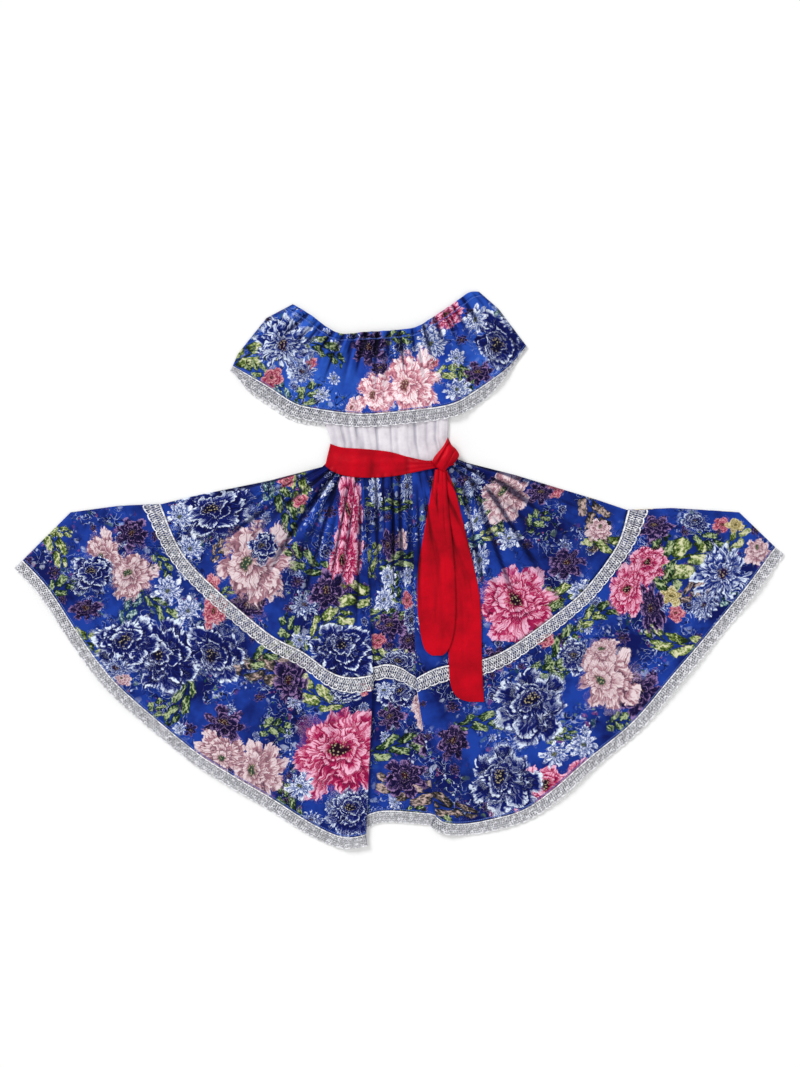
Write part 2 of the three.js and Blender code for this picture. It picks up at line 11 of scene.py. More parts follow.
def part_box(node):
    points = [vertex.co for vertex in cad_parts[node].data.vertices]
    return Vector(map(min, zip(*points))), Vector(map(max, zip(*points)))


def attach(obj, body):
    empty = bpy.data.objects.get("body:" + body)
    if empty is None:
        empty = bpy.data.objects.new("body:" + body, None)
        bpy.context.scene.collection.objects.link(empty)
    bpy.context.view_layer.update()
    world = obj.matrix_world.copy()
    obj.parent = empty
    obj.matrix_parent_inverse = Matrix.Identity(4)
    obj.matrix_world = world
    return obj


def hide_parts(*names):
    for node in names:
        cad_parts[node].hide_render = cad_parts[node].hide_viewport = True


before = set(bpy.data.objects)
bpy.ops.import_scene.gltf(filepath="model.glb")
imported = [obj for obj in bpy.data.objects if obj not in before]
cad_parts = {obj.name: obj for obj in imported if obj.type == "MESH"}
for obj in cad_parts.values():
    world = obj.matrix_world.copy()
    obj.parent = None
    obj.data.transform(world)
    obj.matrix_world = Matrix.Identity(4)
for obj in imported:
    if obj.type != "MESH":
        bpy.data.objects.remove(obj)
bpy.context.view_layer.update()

# Lines of the cutting plan are in millimetres, as in the part's source, round the photo's middle.
# The sash band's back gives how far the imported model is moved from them.
MM = 0.001
SASH_LEFT = -183
SASH_HIGH = 311
BAND_LOW, BAND_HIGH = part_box("sash_band_back")
PLAN_SHIFT = np.array([BAND_LOW[0] - SASH_LEFT * MM, BAND_HIGH[1] - SASH_HIGH * MM])

# The print's places are written in pixels of the photo, each this many millimetres
PHOTO_SIZE = (800, 1067)
PHOTO_SCALE = 2.5
PHOTO_MIDDLE = (398.5, 568.3)

# Walls of the solids, which say where each layer lies, the gap between layers, and the thickness
# of the cloth shown
CLOTH_WALL = 1.2
LACE_WALL = 0.9
SASH_WALL = 1.5
LAYER_GAP = 0.4
CLOTH_SHOWN = 0.8
SASH_SHOWN = 1.0
HEM_LACE_WIDTH = 30
RUFFLE_LACE_WIDTH = 34
# Steps of the two layers of a tuck, how far beyond it the cloth stays up and then falls, and the
# distances from its edge between which the creases fade in
TUCK_LOWER_STEP = 4.4
TUCK_UPPER_STEP = 2.4
TUCK_MARGIN = 5
TUCK_RISE_REACH = 62
TUCK_CLEARANCE = (8, 30)
# Gathers below the waist and wide folds above the hem: their height and how many a run has
GATHER_HEIGHT = 6
SIDE_GATHERS = 7
CENTRE_GATHERS = 3
FOLD_HEIGHT = 4.5
SIDE_FOLDS = 4
# How far gathered cloth stands off the layer below, and how much deeper the ruffle's creases are there
WAIST_PUFF = 6.0
RUFFLE_PUFF = 2.0
RUFFLE_GATHERED = 0.8
# Pleats of the sash band
PLEAT_HEIGHT = 0.8
PLEATS = 3
# The tier lace's share of the lower tier, and the neck casing's of the ruffle
LACE_SHARE = 0.1
CASING_SHARE = 0.075
# Rows of stitches, as shares of the cloth's way down
HEM_STITCHES = (0.985, 0.995)
CASING_STITCHES = (0.01, 0.03)
RUFFLE_HEM_STITCHES = (0.975, 0.99)
# Heights that follow from these walls and gaps
BACK_LEVEL = CLOTH_WALL / 2
WAIST_LIFT = SASH_WALL + LAYER_GAP
LACE_LIFT = LACE_WALL + LAYER_GAP
LAYER_STEP = CLOTH_WALL + 2 * LAYER_GAP
TIER_LACE_LIFT = CLOTH_WALL / 2 + LAYER_GAP + LACE_WALL / 2
# How quickly a side edge's curve dies out inwards, as a power
SKIRT_EDGE_REACH = 5
RUFFLE_EDGE_REACH = 3
# The back is a little smaller than the front, drawn in towards these points; its ruffle sags at the left
BACK_RUFFLE_SAG = 13
BACK_INSET = 0.992
WAIST_CENTRE = (-20, 262)
RUFFLE_CENTRE = (-45, 560)
# Gaps left where two pieces meet, as shares of a piece's way down
TIER_SEAM_GAP = 0.0006
CASING_GAP = 0.002
LACE_GAP = 0.01
BODICE_GAP = 0.001
# How strongly the creases of each table are raised
BODICE_RELIEF = 1.1
BODICE_BACK_RELIEF = 0.6
BODICE_DEEPEST = -0.6
RUFFLE_RELIEF = 1.2
RUFFLE_BACK_RELIEF = 0.35

# How finely the cloth shown is divided
SIDE_COLUMNS = 124
CENTRE_COLUMNS = 72
TURN_STEPS = 6
UPPER_ROWS = 64
LOWER_ROWS = 56
BACK_COLUMNS = 150
BACK_ROWS = 34
RUFFLE_COLUMNS = 240
RUFFLE_ROWS = 44
CASING_ROWS = 6
RUFFLE_BACK_COLUMNS = 130
RUFFLE_BACK_ROWS = 30
CASING_BACK_ROWS = 5
BODICE_ROWS = 60
BODICE_COLUMNS = 120
BODICE_BACK_COLUMNS = 80
BAND_ROWS = 24
BAND_COLUMNS = 110
BAND_BACK_ROWS = 16
BAND_BACK_COLUMNS = 80
TAIL_ROWS = 120
TAIL_COLUMNS = 24
LACE_ROWS = 4
HEM_LACE_ROWS = 5
# A valley is measured against the cloth this far on each side, and is full at this depth
# The materials darken the cloth's colour by a valley's depth, as painted shade
VALLEY_REACH = 13
VALLEY_FULL = 1.9
# A piece laid over others clears the highest of this many grid steps around by a small gap
OVER_REACH = 1
OVER_GAP = 0.3
# Rays for the heights below start this far up, in metres, and where one misses, the solid's point
# nearest to this height is taken; the heights are then smoothed this many times
RAY_START = 1.0
NEAR_CLOTH = 0.02
RESTING_BLURS = 2

# The waist is a shallow bow between its ends; the seam and the hem are drawn run by run
WAIST_LEFT = -172
WAIST_RIGHT = 141
WAIST_LOW_POINT = (-20, 259)
WAIST_BEND = 6.2e-4
TIER_SEAM = {
    "left": [(-594, 160), (-541, 40), (-460, -47), (-326, -161), (-239, -208), (-170, -258),
             (-120, -272), (-63, -265)],
    "centre": [(-94, -254), (-57, -245), (-27, -239), (7, -248), (38, -268), (74, -284)],
    "right": [(43, -274), (102, -246), (208, -228), (292, -188), (426, -88), (486, -27),
              (546, 60), (573, 145)],
}
HEM = {
    "left": [(-939, 20), (-872, -52), (-802, -160), (-742, -243), (-675, -315), (-514, -452),
             (-414, -516), (-320, -572), (-206, -643), (-136, -670), (-81, -664)],
    "centre": [(-118, -640), (-74, -614), (-27, -605), (59, -611), (85, -614), (124, -630)],
    "right": [(94, -619), (118, -634), (169, -637), (225, -628), (312, -603), (379, -557),
              (472, -476), (586, -382), (687, -262), (774, -161), (861, -54), (941, 53)],
}
# Side edges as (share of the way down, x, y)
UPPER_LEFT_EDGE = [(0, -172, 273), (0.08, -190, 253), (0.4, -326, 218), (0.85, -514, 180), (1, -594, 160)]
UPPER_RIGHT_EDGE = [(0, 141, 276), (0.08, 172, 264), (0.4, 290, 234), (0.85, 500, 170), (1, 573, 145)]
LOWER_LEFT_EDGE = [(0, -594, 160), (0.22, -700, 156), (0.6, -819, 140), (1, -939, 20)]
LOWER_RIGHT_EDGE = [(0, 573, 145), (0.22, 690, 150), (0.6, 851, 140), (1, 941, 53)]
RUFFLE_LEFT_EDGE = [(0, -264, 660), (0.35, -330, 625), (0.8, -401, 536), (1, -414, 506)]
RUFFLE_RIGHT_EDGE = [(0, 201, 691), (0.4, 250, 648), (1, 319, 556)]
NECKLINE = [(-264, 660), (-221, 634), (-152, 588), (-80, 590), (-14, 594), (43, 602), (84, 626),
            (135, 660), (175, 688), (201, 691)]
RUFFLE_HEM = [(-414, 506), (-330, 458), (-261, 414), (-209, 400), (-123, 388), (-60, 387), (55, 398),
              (135, 412), (192, 444), (273, 502), (319, 556)]
BODICE_TOP = [(-200, 548), (-150, 574), (-60, 578), (40, 586), (145, 566)]
BODICE_LEFT_EDGE = [(0, -200, 548), (0.65, -181, 357), (0.85, -168, 312), (1, -172, 272)]
BODICE_RIGHT_EDGE = [(0, 145, 566), (0.65, 124, 373), (0.85, 122, 328), (1, 141, 276)]
SASH_TOP = [(-170, 311), (-141, 302), (-87, 298), (-23, 291), (25, 278), (80, 268), (132, 278)]
SASH_BOTTOM = [(-183, 256), (-163, 241), (-125, 229), (-68, 226), (-4, 231), (76, 247), (140, 258)]
# Tails of the sash as (y, left, right)
LEFT_TAIL = [(246, 91, 117), (180, 79, 122), (104, 66, 130), (0, 49, 140), (-89, 47, 143),
             (-156, 54, 139), (-200, 65, 126), (-217, 83, 110)]
RIGHT_TAIL = [(245, 98, 121), (196, 99, 140), (115, 104, 161), (12, 112, 186), (-64, 118, 202),
              (-140, 123, 207), (-217, 125, 208), (-290, 130, 211), (-322, 148, 213), (-333, 176, 214)]
# The knot's outline from its peak round to the right, and its folds as (place, width, depth)
KNOT_OUTLINE = [(123, 327), (132, 308), (144, 296), (151, 281), (140, 264), (124, 252), (112, 240),
                (98, 248), (84, 262), (88, 276), (99, 290), (112, 306)]
KNOT_CENTRE = (116, 278)
KNOT_SLANT = (0.5, 0.87)
KNOT_GROOVES = [(-9, 2.2, 5.0), (13, 2.0, 4.0)]
KNOT_HEIGHT = 21
KNOT_RIM = 5
KNOT_RINGS = 22
# Its fold ridges: wide and narrow waves across it, the length of their sway along it, and height
KNOT_WIDE_WAVE = 4.2
KNOT_NARROW_WAVE = 2.3
KNOT_SWAY = 13
KNOT_FOLD_HEIGHT = 1.1

# Creases that run down the cloth: share across where each starts, lean, width as a share, height
# in millimetres, and the shares of the way down between which it shows
LEFT_CREASES = [
    (0.07, 0.00, 0.014, -1.4, 0.02, 0.7), (0.13, 0.02, 0.018, 2.4, 0.03, 0.55),
    (0.19, 0.01, 0.013, -1.9, 0.02, 0.42), (0.24, 0.00, 0.02, 2, 0.02, 0.8),
    (0.31, -0.01, 0.011, -2.2, 0.02, 0.36), (0.36, 0.00, 0.018, 2.5, 0.03, 0.62),
    (0.42, 0.01, 0.013, -2, 0.02, 0.5), (0.49, 0.00, 0.022, 2.2, 0.02, 0.92),
    (0.55, 0.00, 0.011, -2.5, 0.02, 0.4), (0.6, -0.01, 0.018, 2.9, 0.02, 0.58),
    (0.66, 0.00, 0.013, -2.7, 0.02, 0.74), (0.71, 0.01, 0.016, 2.7, 0.02, 0.46),
    (0.765, 0.00, 0.011, -2.9, 0.02, 0.52), (0.81, 0.01, 0.016, 2.5, 0.02, 0.9),
    (0.86, 0.00, 0.011, -2.7, 0.02, 0.63), (0.915, 0.01, 0.018, 2.2, 0.02, 1.1),
]
CENTRE_CREASES = [
    (0.25, 0.00, 0.023, 2.9, 0.02, 0.66), (0.31, 0.01, 0.017, -2.7, 0.02, 0.95),
    (0.37, 0.00, 0.026, 3.2, 0.02, 0.5), (0.43, -0.02, 0.016, -3.2, 0.02, 0.72),
    (0.49, 0.01, 0.025, 3, 0.02, 0.85), (0.55, 0.00, 0.017, -3, 0.02, 0.48),
    (0.61, 0.01, 0.023, 3.4, 0.02, 0.6), (0.67, 0.00, 0.016, -2.9, 0.02, 1.05),
    (0.73, 0.00, 0.023, 2.7, 0.02, 0.7),
]
RIGHT_CREASES = [
    (0.08, 0.00, 0.018, 2.2, 0.02, 1.05), (0.13, 0.01, 0.013, -2.7, 0.02, 0.66),
    (0.19, 0.00, 0.018, 2.9, 0.02, 0.52), (0.245, 0.00, 0.011, -2.5, 0.02, 0.74),
    (0.3, 0.01, 0.02, 2.5, 0.02, 0.45), (0.37, -0.01, 0.013, -2.4, 0.02, 0.58),
    (0.43, 0.00, 0.018, 2.7, 0.02, 0.86), (0.5, 0.01, 0.011, -2.5, 0.02, 0.42),
    (0.56, 0.00, 0.02, 2.4, 0.02, 0.55), (0.63, -0.01, 0.013, -2.2, 0.02, 0.78),
    (0.7, 0.00, 0.018, 2.5, 0.02, 0.5), (0.76, 0.01, 0.011, -2, 0.02, 0.6),
    (0.83, 0.00, 0.022, 2.2, 0.02, 0.95), (0.9, 0.01, 0.014, -1.7, 0.02, 0.55),
]
RUFFLE_CREASES = [
    (0.05, 0.02, 0.011, 2.7, 0, 0.8), (0.09, 0.01, 0.008, -2.2, 0, 0.5),
    (0.13, 0.00, 0.01, 2.5, 0, 0.6), (0.17, 0.01, 0.007, -2.4, 0, 0.4),
    (0.205, 0.00, 0.009, 3.2, 0, 0.9), (0.235, -0.01, 0.006, -2.7, 0, 0.45),
    (0.262, 0.00, 0.008, 2.8, 0, 0.55), (0.29, 0.00, 0.006, -3, 0, 0.75),
    (0.318, 0.01, 0.008, 3.3, 0, 0.5), (0.345, 0.00, 0.006, -2.5, 0, 0.35),
    (0.372, 0.00, 0.009, 3, 0, 0.85), (0.4, -0.01, 0.006, -3.2, 0, 0.6),
    (0.427, 0.00, 0.008, 3.4, 0, 0.45), (0.455, 0.01, 0.006, -2.8, 0, 0.55),
    (0.482, 0.00, 0.009, 3.2, 0, 1), (0.51, 0.00, 0.006, -3.3, 0, 0.4),
    (0.538, 0.00, 0.008, 2.7, 0, 0.6), (0.565, 0.01, 0.006, -2.7, 0, 0.7),
    (0.595, 0.00, 0.009, 3.3, 0, 0.5), (0.622, -0.01, 0.006, -2.8, 0, 0.45),
    (0.652, 0.00, 0.008, 3, 0, 0.8), (0.68, 0.00, 0.006, -3, 0, 0.5),
    (0.71, 0.01, 0.009, 2.8, 0, 0.6), (0.745, 0.00, 0.007, -2.5, 0, 0.4),
    (0.78, 0.00, 0.01, 2.7, 0, 0.9), (0.82, -0.01, 0.007, -2.2, 0, 0.5),
    (0.865, 0.00, 0.011, 2.4, 0, 0.7), (0.91, -0.02, 0.008, -2, 0, 0.5),
    (0.95, -0.02, 0.011, 2, 0, 0.6),
]
BODICE_CREASES = [
    (0.06, 0.03, 0.016, 1.9, 0.3, 1.1), (0.11, 0.01, 0.01, -2.3, 0.5, 1.1),
    (0.19, 0.02, 0.02, 2.7, 0.4, 1.3), (0.25, -0.03, 0.01, -2.6, 0.55, 1.1),
    (0.33, 0.04, 0.024, 2.3, 0.4, 1.1), (0.39, 0.00, 0.01, -2.1, 0.6, 1.3),
    (0.47, 0.05, 0.022, 1.7, 0.4, 1), (0.52, -0.02, 0.009, -2.8, 0.62, 1.2),
    (0.6, 0.03, 0.026, 2.4, 0.4, 1.1), (0.67, 0.05, 0.012, -2.3, 0.55, 1.2),
    (0.75, -0.03, 0.02, 1.9, 0.4, 1.1), (0.8, 0.00, 0.01, -1.9, 0.6, 1.1),
    (0.885, 0.00, 0.007, -2.4, 0.2, 2.6), (0.9, 0.00, 0.006, 1.6, 0.2, 2.6),
    (0.925, 0.00, 0.007, -2.4, 0.2, 2.6),
]
BACK_CREASES = [
    (0.08, 0.01, 0.010, 0.9, 0.05, 0.9), (0.17, 0.00, 0.012, 0.8, 0.05, 0.6),
    (0.27, -0.01, 0.009, 1.0, 0.05, 0.8), (0.36, 0.00, 0.011, 0.9, 0.05, 0.5),
    (0.44, 0.00, 0.008, 1.1, 0.05, 0.9), (0.52, 0.01, 0.009, 1.0, 0.05, 0.7),
    (0.61, 0.00, 0.010, 0.9, 0.05, 0.9), (0.70, -0.01, 0.012, 1.0, 0.05, 0.6),
    (0.79, 0.00, 0.009, 0.8, 0.05, 0.8), (0.89, 0.00, 0.011, 0.9, 0.05, 0.7),
]
TAIL_CREASES = [
    (0.2, 0.02, 0.05, 1.6, -0.1, 0.7), (0.38, 0.06, 0.035, -1.8, -0.1, 0.5),
    (0.55, -0.04, 0.06, 1.4, -0.1, 0.9), (0.74, 0.05, 0.04, -1.6, -0.1, 0.6),
]
# Long creases of the skirt at any slant: from x, y to x, y, width and height
LONG_CREASES = [
    (-823, 142, -826, 30, 6, -3.0), (-640, 60, -760, -110, 14, 1.6), (-500, 120, -690, 40, 16, 1.5),
    (-380, -20, -560, -260, 18, 1.8), (-250, -120, -330, -420, 16, 2.0), (-150, -80, -210, -520, 13, 1.8),
    (-192, 244, -500, 30, 9, -4.5), (-180, 240, -430, -10, 8, 3.0), (-168, 236, -380, -90, 8, -5.5),
    (-158, 232, -300, -40, 6, 3.0), (-146, 230, -262, -150, 8, -6.0), (-132, 228, -205, 20, 6, 3.5),
    (-118, 226, -176, -60, 7, -5.5), (-100, 224, -142, -170, 8, 3.5), (-84, 224, -112, -200, 7, -6.5),
    (-68, 226, -84, -60, 7, 3.5), (-51, 226, -68, -150, 8, -7.5), (-30, 226, -34, -60, 8, 4.0),
    (-12, 226, -14, -150, 6, -5.0), (4, 228, 6, -170, 8, -8.0), (20, 230, 26, -40, 7, 4.0),
    (38, 232, 50, -120, 8, -7.0), (56, 234, 68, -20, 6, 3.0),
    (-30, -60, -34, -420, 12, 1.6), (20, -180, 30, -560, 10, 1.3),
    (152, 246, 222, -90, 7, -6.0), (160, 252, 262, -60, 7, 3.5), (168, 254, 318, -150, 8, -6.5),
    (178, 256, 366, -60, 7, 3.5), (186, 258, 420, -110, 9, -6.0), (196, 258, 440, 10, 8, 3.5),
    (206, 256, 500, 20, 9, -5.0), (220, 252, 520, 70, 8, 3.5), (236, 248, 540, 110, 7, -3.5),
    (240, 40, 330, -330, 16, 1.9), (330, 110, 560, -130, 18, 1.6),
    (250, -260, 330, -520, 14, 1.7), (480, 100, 760, -40, 17, 1.5), (560, -80, 700, -210, 14, 1.4),
    (820, 120, 850, 20, 7, 1.9),
]

# Kinds of bloom in the print: place in the colour ramps, petals in the outer ring, gap between them
BLOOM_KINDS = {
    "pale": (0, 8, 0.28), "pink": (1, 8, 0.25), "blue": (2, 7, 0.30), "daisy": (3, 9, 0.80),
    "navy": (4, 7, 0.60), "aster": (5, 14, 0.65), "bud": (6, 5, 0.35), "yellow": (7, 5, 0.40),
    "rose": (8, 8, 0.30),
}
# Kinds of leaf spray: place in the colour ramps, leaflets along the stem, and no gap
LEAF_KINDS = {"green": (0, 3, 0), "lime": (1, 2.4, 0), "rosy": (2, 3.4, 0), "teal": (3, 2.6, 0)}
# The colour ramps have this many places
KIND_STEPS = 9

# The print, roughly as it is scattered in the photo, for each run of the front that it lies on:
# kind, x, y, radius, turn, squash
UPPER_BLOOMS = {
    "left": [
        ("blue", 212, 508, 42, 20, 0.62), ("pale", 246, 562, 43, 75, 0.85), ("blue", 262, 545, 17, 40, 0.9),
        ("daisy", 180, 516, 14, 0, 0.9), ("daisy", 190, 548, 13, 30, 1.0), ("navy", 247, 603, 20, 10, 0.8),
        ("pink", 348, 510, 34, 92, 0.36), ("pink", 342, 560, 30, 80, 0.55), ("bud", 300, 500, 8, 0, 0.8),
        ("blue", 342, 646, 33, 0, 0.8), ("navy", 326, 590, 20, 60, 0.9), ("bud", 287, 480, 9, 40, 0.7),
        ("aster", 305, 604, 13, 0, 1.0), ("bud", 212, 585, 10, 90, 0.8), ("daisy", 300, 640, 9, 0, 1.0),
        ("daisy", 326, 489, 9, 50, 0.6),
    ],
    "centre": [
        ("navy", 388, 545, 14, 90, 0.6), ("daisy", 388, 577, 11, 90, 0.7), ("navy", 408, 640, 15, 90, 0.8),
        ("daisy", 377, 500, 9, 90, 0.6), ("bud", 407, 600, 9, 90, 0.6), ("blue", 398, 660, 18, 0, 0.8),
        ("pale", 401, 540, 10, 90, 0.5), ("blue", 412, 620, 14, 80, 0.7), ("daisy", 374, 489, 11, 90, 0.6),
        ("aster", 407, 486, 14, 80, 0.5), ("daisy", 384, 600, 12, 60, 0.8), ("navy", 390, 625, 16, 30, 0.8),
        ("daisy", 407, 575, 9, 80, 0.6), ("bud", 378, 640, 10, 20, 0.7),
    ],
    "right": [
        ("pale", 502, 492, 29, 50, 0.7), ("pink", 514, 600, 37, 15, 1.0), ("daisy", 476, 520, 16, 60, 0.55),
        ("daisy", 509, 538, 12, 0, 0.9), ("daisy", 480, 560, 15, 80, 0.55), ("navy", 566, 562, 19, 20, 0.8),
        ("navy", 540, 492, 13, 0, 0.8), ("aster", 472, 485, 14, 50, 0.6), ("daisy", 580, 590, 12, 0, 0.9),
        ("navy", 498, 656, 17, 10, 0.7), ("pale", 600, 527, 13, 0, 0.8), ("bud", 555, 490, 8, 0, 1.0),
    ],
}
UPPER_LEAVES = {
    "left": [
        ("lime", 298, 484, 24, -80, 0.5), ("green", 285, 506, 26, -70, 0.5), ("green", 203, 528, 14, 60, 0.6),
        ("green", 306, 562, 22, 150, 0.6), ("lime", 352, 592, 24, 170, 0.7), ("green", 232, 590, 12, 20, 0.5),
        ("lime", 330, 622, 20, 30, 0.7), ("green", 292, 634, 17, 120, 0.7), ("teal", 270, 490, 16, 90, 0.5),
        ("rosy", 222, 548, 14, 45, 0.6),
    ],
    "centre": [
        ("green", 390, 505, 20, 175, 0.4), ("green", 407, 560, 24, 5, 0.4), ("rosy", 402, 620, 22, 10, 0.4),
        ("lime", 380, 655, 14, 160, 0.6), ("green", 385, 615, 20, 0, 0.4), ("lime", 372, 560, 15, 80, 0.5),
        ("green", 396, 590, 16, 100, 0.5), ("lime", 404, 655, 18, 15, 0.5),
    ],
    "right": [
        ("green", 492, 512, 17, -60, 0.6), ("green", 537, 520, 12, 40, 0.8), ("rosy", 596, 522, 23, -75, 0.7),
        ("lime", 610, 545, 22, -30, 0.6), ("lime", 560, 596, 22, 20, 0.6), ("green", 545, 615, 20, 60, 0.6),
        ("teal", 472, 542, 18, 10, 0.4), ("lime", 489, 535, 14, 20, 0.5), ("green", 455, 492, 15, -40, 0.5),
    ],
}
LOWER_BLOOMS = {
    "left": [
        ("pale", 101, 557, 25, 110, 0.72), ("pale", 128, 572, 26, 40, 0.85), ("blue", 92, 570, 24, 10, 0.8),
        ("navy", 132, 532, 17, 0, 0.9), ("daisy", 168, 590, 15, 0, 0.9), ("daisy", 188, 610, 13, 45, 0.9),
        ("bud", 214, 611, 16, 60, 0.8), ("navy", 86, 608, 15, 0, 0.8), ("blue", 124, 640, 32, 15, 0.85),
        ("blue", 160, 655, 34, 70, 0.95), ("blue", 212, 655, 29, 120, 0.95), ("navy", 224, 722, 23, 0, 0.75),
        ("pale", 222, 757, 26, 160, 0.7), ("pale", 252, 770, 30, 70, 0.85), ("pink", 338, 748, 46, 30, 0.95),
        ("daisy", 300, 786, 15, 0, 0.9), ("blue", 350, 806, 24, 20, 1.0), ("navy", 290, 680, 23, 80, 0.8),
        ("blue", 345, 690, 16, 10, 0.7), ("bud", 362, 688, 9, 0, 0.7), ("daisy", 180, 728, 6, 0, 1.0),
        ("aster", 310, 820, 13, 0, 0.7), ("aster", 116, 668, 16, 0, 0.8), ("pale", 122, 678, 9, 0, 0.7),
    ],
    "centre": [
        ("blue", 400, 690, 20, 0, 0.8), ("pale", 424, 705, 20, 70, 0.8), ("navy", 390, 716, 15, 60, 0.8),
        ("navy", 405, 775, 22, 0, 0.9), ("navy", 434, 735, 19, 0, 1.0), ("daisy", 384, 690, 10, 0, 0.8),
    ],
    "right": [
        ("blue", 530, 700, 36, 30, 0.95), ("pale", 600, 680, 32, 100, 0.95), ("blue", 573, 655, 17, 60, 1.0),
        ("pale", 601, 648, 16, 20, 0.8), ("daisy", 583, 744, 15, 0, 0.9), ("daisy", 554, 754, 14, 30, 0.85),
        ("pink", 546, 786, 31, 20, 0.8), ("pink", 574, 778, 20, 60, 0.6), ("navy", 640, 690, 25, 0, 0.9),
        ("blue", 500, 778, 33, 80, 1.0), ("pink", 646, 562, 22, 20, 0.85), ("pink", 626, 590, 26, 70, 0.75),
        ("aster", 722, 574, 29, 20, 1.0), ("aster", 703, 605, 16, 60, 0.8), ("yellow", 671, 596, 11, 0, 0.8),
        ("bud", 675, 613, 9, 0, 0.9), ("navy", 650, 608, 26, 100, 0.5), ("pale", 757, 548, 14, 20, 0.9),
        ("bud", 722, 524, 10, 0, 0.8), ("blue", 695, 520, 13, 0, 0.7), ("navy", 655, 525, 17, 0, 0.7),
        ("navy", 452, 740, 18, 0, 1.1), ("bud", 545, 640, 9, 30, 0.8), ("daisy", 724, 622, 8, 0, 0.9),
        ("yellow", 735, 525, 9, 0, 0.8), ("navy", 500, 660, 16, 0, 0.6),
    ],
}
LOWER_LEAVES = {
    "left": [
        ("lime", 55, 545, 20, -60, 0.6), ("lime", 62, 532, 9, 0, 0.8), ("green", 62, 588, 17, 30, 0.7),
        ("green", 164, 566, 13, -60, 0.6), ("green", 165, 612, 20, -50, 0.5), ("lime", 92, 642, 20, 170, 0.7),
        ("green", 182, 698, 26, -110, 0.45), ("green", 154, 712, 13, 60, 0.7),
        ("rosy", 262, 668, 32, 175, 0.55), ("green", 272, 652, 20, 20, 0.6), ("green", 275, 727, 13, 0, 0.8),
        ("lime", 318, 695, 23, 150, 0.6), ("green", 288, 802, 17, 120, 0.6), ("teal", 130, 610, 16, 60, 0.6),
        ("rosy", 110, 700, 12, 0, 0.7), ("green", 130, 590, 12, 0, 0.7),
    ],
    "centre": [
        ("green", 403, 745, 26, 10, 0.5), ("rosy", 412, 790, 30, 170, 0.5), ("green", 392, 705, 15, 80, 0.6),
        ("green", 408, 815, 15, 30, 0.6),
    ],
    "right": [
        ("rosy", 437, 800, 34, 155, 0.4), ("green", 444, 822, 17, 140, 0.6), ("green", 482, 722, 23, 5, 0.5),
        ("green", 621, 722, 12, 0, 0.9), ("green", 560, 655, 26, 70, 0.5), ("green", 601, 612, 19, 20, 0.6),
        ("lime", 669, 640, 23, 160, 0.6), ("lime", 680, 560, 26, 30, 0.8), ("green", 662, 568, 26, 100, 0.7),
        ("green", 713, 545, 17, -40, 0.6), ("green", 560, 735, 13, 10, 0.6), ("lime", 588, 620, 12, 40, 0.6),
        ("rosy", 697, 590, 17, 20, 0.6), ("teal", 740, 598, 17, 0, 0.6), ("lime", 735, 540, 15, 60, 0.6),
        ("green", 545, 672, 19, 10, 0.6),
    ],
}
RUFFLE_BLOOMS = {
    "all": [
        ("aster", 282, 345, 31, 100, 1.0), ("navy", 368, 347, 19, 60, 0.9), ("rose", 372, 395, 23, 100, 0.9),
        ("rose", 404, 385, 33, 90, 0.85), ("pink", 445, 315, 17, 30, 0.7), ("daisy", 431, 343, 16, 0, 1.0),
        ("blue", 497, 345, 33, 110, 0.9), ("daisy", 475, 320, 15, 60, 0.7), ("daisy", 457, 390, 13, 20, 0.8),
        ("daisy", 456, 358, 9, 0, 0.9), ("bud", 310, 365, 8, 30, 0.7), ("bud", 272, 378, 11, 40, 0.8),
        ("daisy", 322, 395, 8, 0, 0.9), ("bud", 433, 363, 6, 0, 1.0), ("navy", 380, 368, 10, 0, 0.7),
        ("navy", 478, 372, 16, 20, 0.7), ("aster", 302, 372, 13, 0, 0.9), ("rose", 352, 408, 12, 60, 0.7),
        ("daisy", 512, 322, 10, 0, 0.8), ("daisy", 246, 382, 8, 0, 0.8),
    ],
}
RUFFLE_LEAVES = {
    "all": [
        ("lime", 255, 355, 27, 15, 0.6), ("green", 325, 350, 20, -30, 0.6), ("green", 305, 400, 17, 60, 0.7),
        ("green", 398, 338, 12, 0, 0.7), ("lime", 452, 372, 15, 10, 0.6), ("teal", 283, 392, 15, 120, 0.6),
        ("green", 464, 378, 15, -60, 0.6), ("green", 262, 372, 15, 160, 0.6), ("teal", 496, 318, 15, 30, 0.5),
        ("green", 348, 330, 8, 0, 0.8),
    ],
}
# Motifs are drawn this much larger than their radius, and shared out in layers in which they keep
# this many millimetres apart
BLOOM_SPREAD = 1.12
LEAF_SPREAD = 1.2
BLOOM_LAYERS = 3
LEAF_LAYERS = 2
LAYER_MARGIN = 3
# Small flowers strewn between the others: their kinds, smallest and largest size, and spacing
FILLER_KINDS = ("navy", "aster", "navy", "daisy", "navy", "blue")
FILLER_SIZES = (10, 21)
FILLER_SPACING = 44
# A face is printed by the motif nearest to it, up to this many of its radii away; others are far away.
# A motif's own random shapes come from its number in its layer plus this
NEAR_MOTIF = 2
FAR_AWAY = 9.0
MOTIF_SEED = 0.37
# Scatters: steps and shifts as shares of the spacing, then the back's sizes in millimetres, and seeds
SCATTER_STEP = 1.9
SCATTER_SHIFT = 0.4
BACK_SPACING = 58
BACK_BLOOM_SIZES = (34, 82)
BACK_LEAF_SIZES = (34, 60)
PRINT_SEEDS = {"upper_tier_back": 7, "lower_tier_back": 12, "neck_casing_back": 16, "ruffle_back": 19}
FRONT_FILLER_SEED = 27
# Runs of the front by number; a motif on all of them has number -1
RUN_NUMBERS = {"all": -1, "left": 0, "centre": 1, "right": 2}


# Curves, and patches of cloth between them

def smooth(low, high, value):
    """0 below low, 1 above high, and an easy curve between them."""
    share = np.clip((np.asarray(value, float) - low) / (high - low), 0, 1)
    return share * share * (3 - 2 * share)


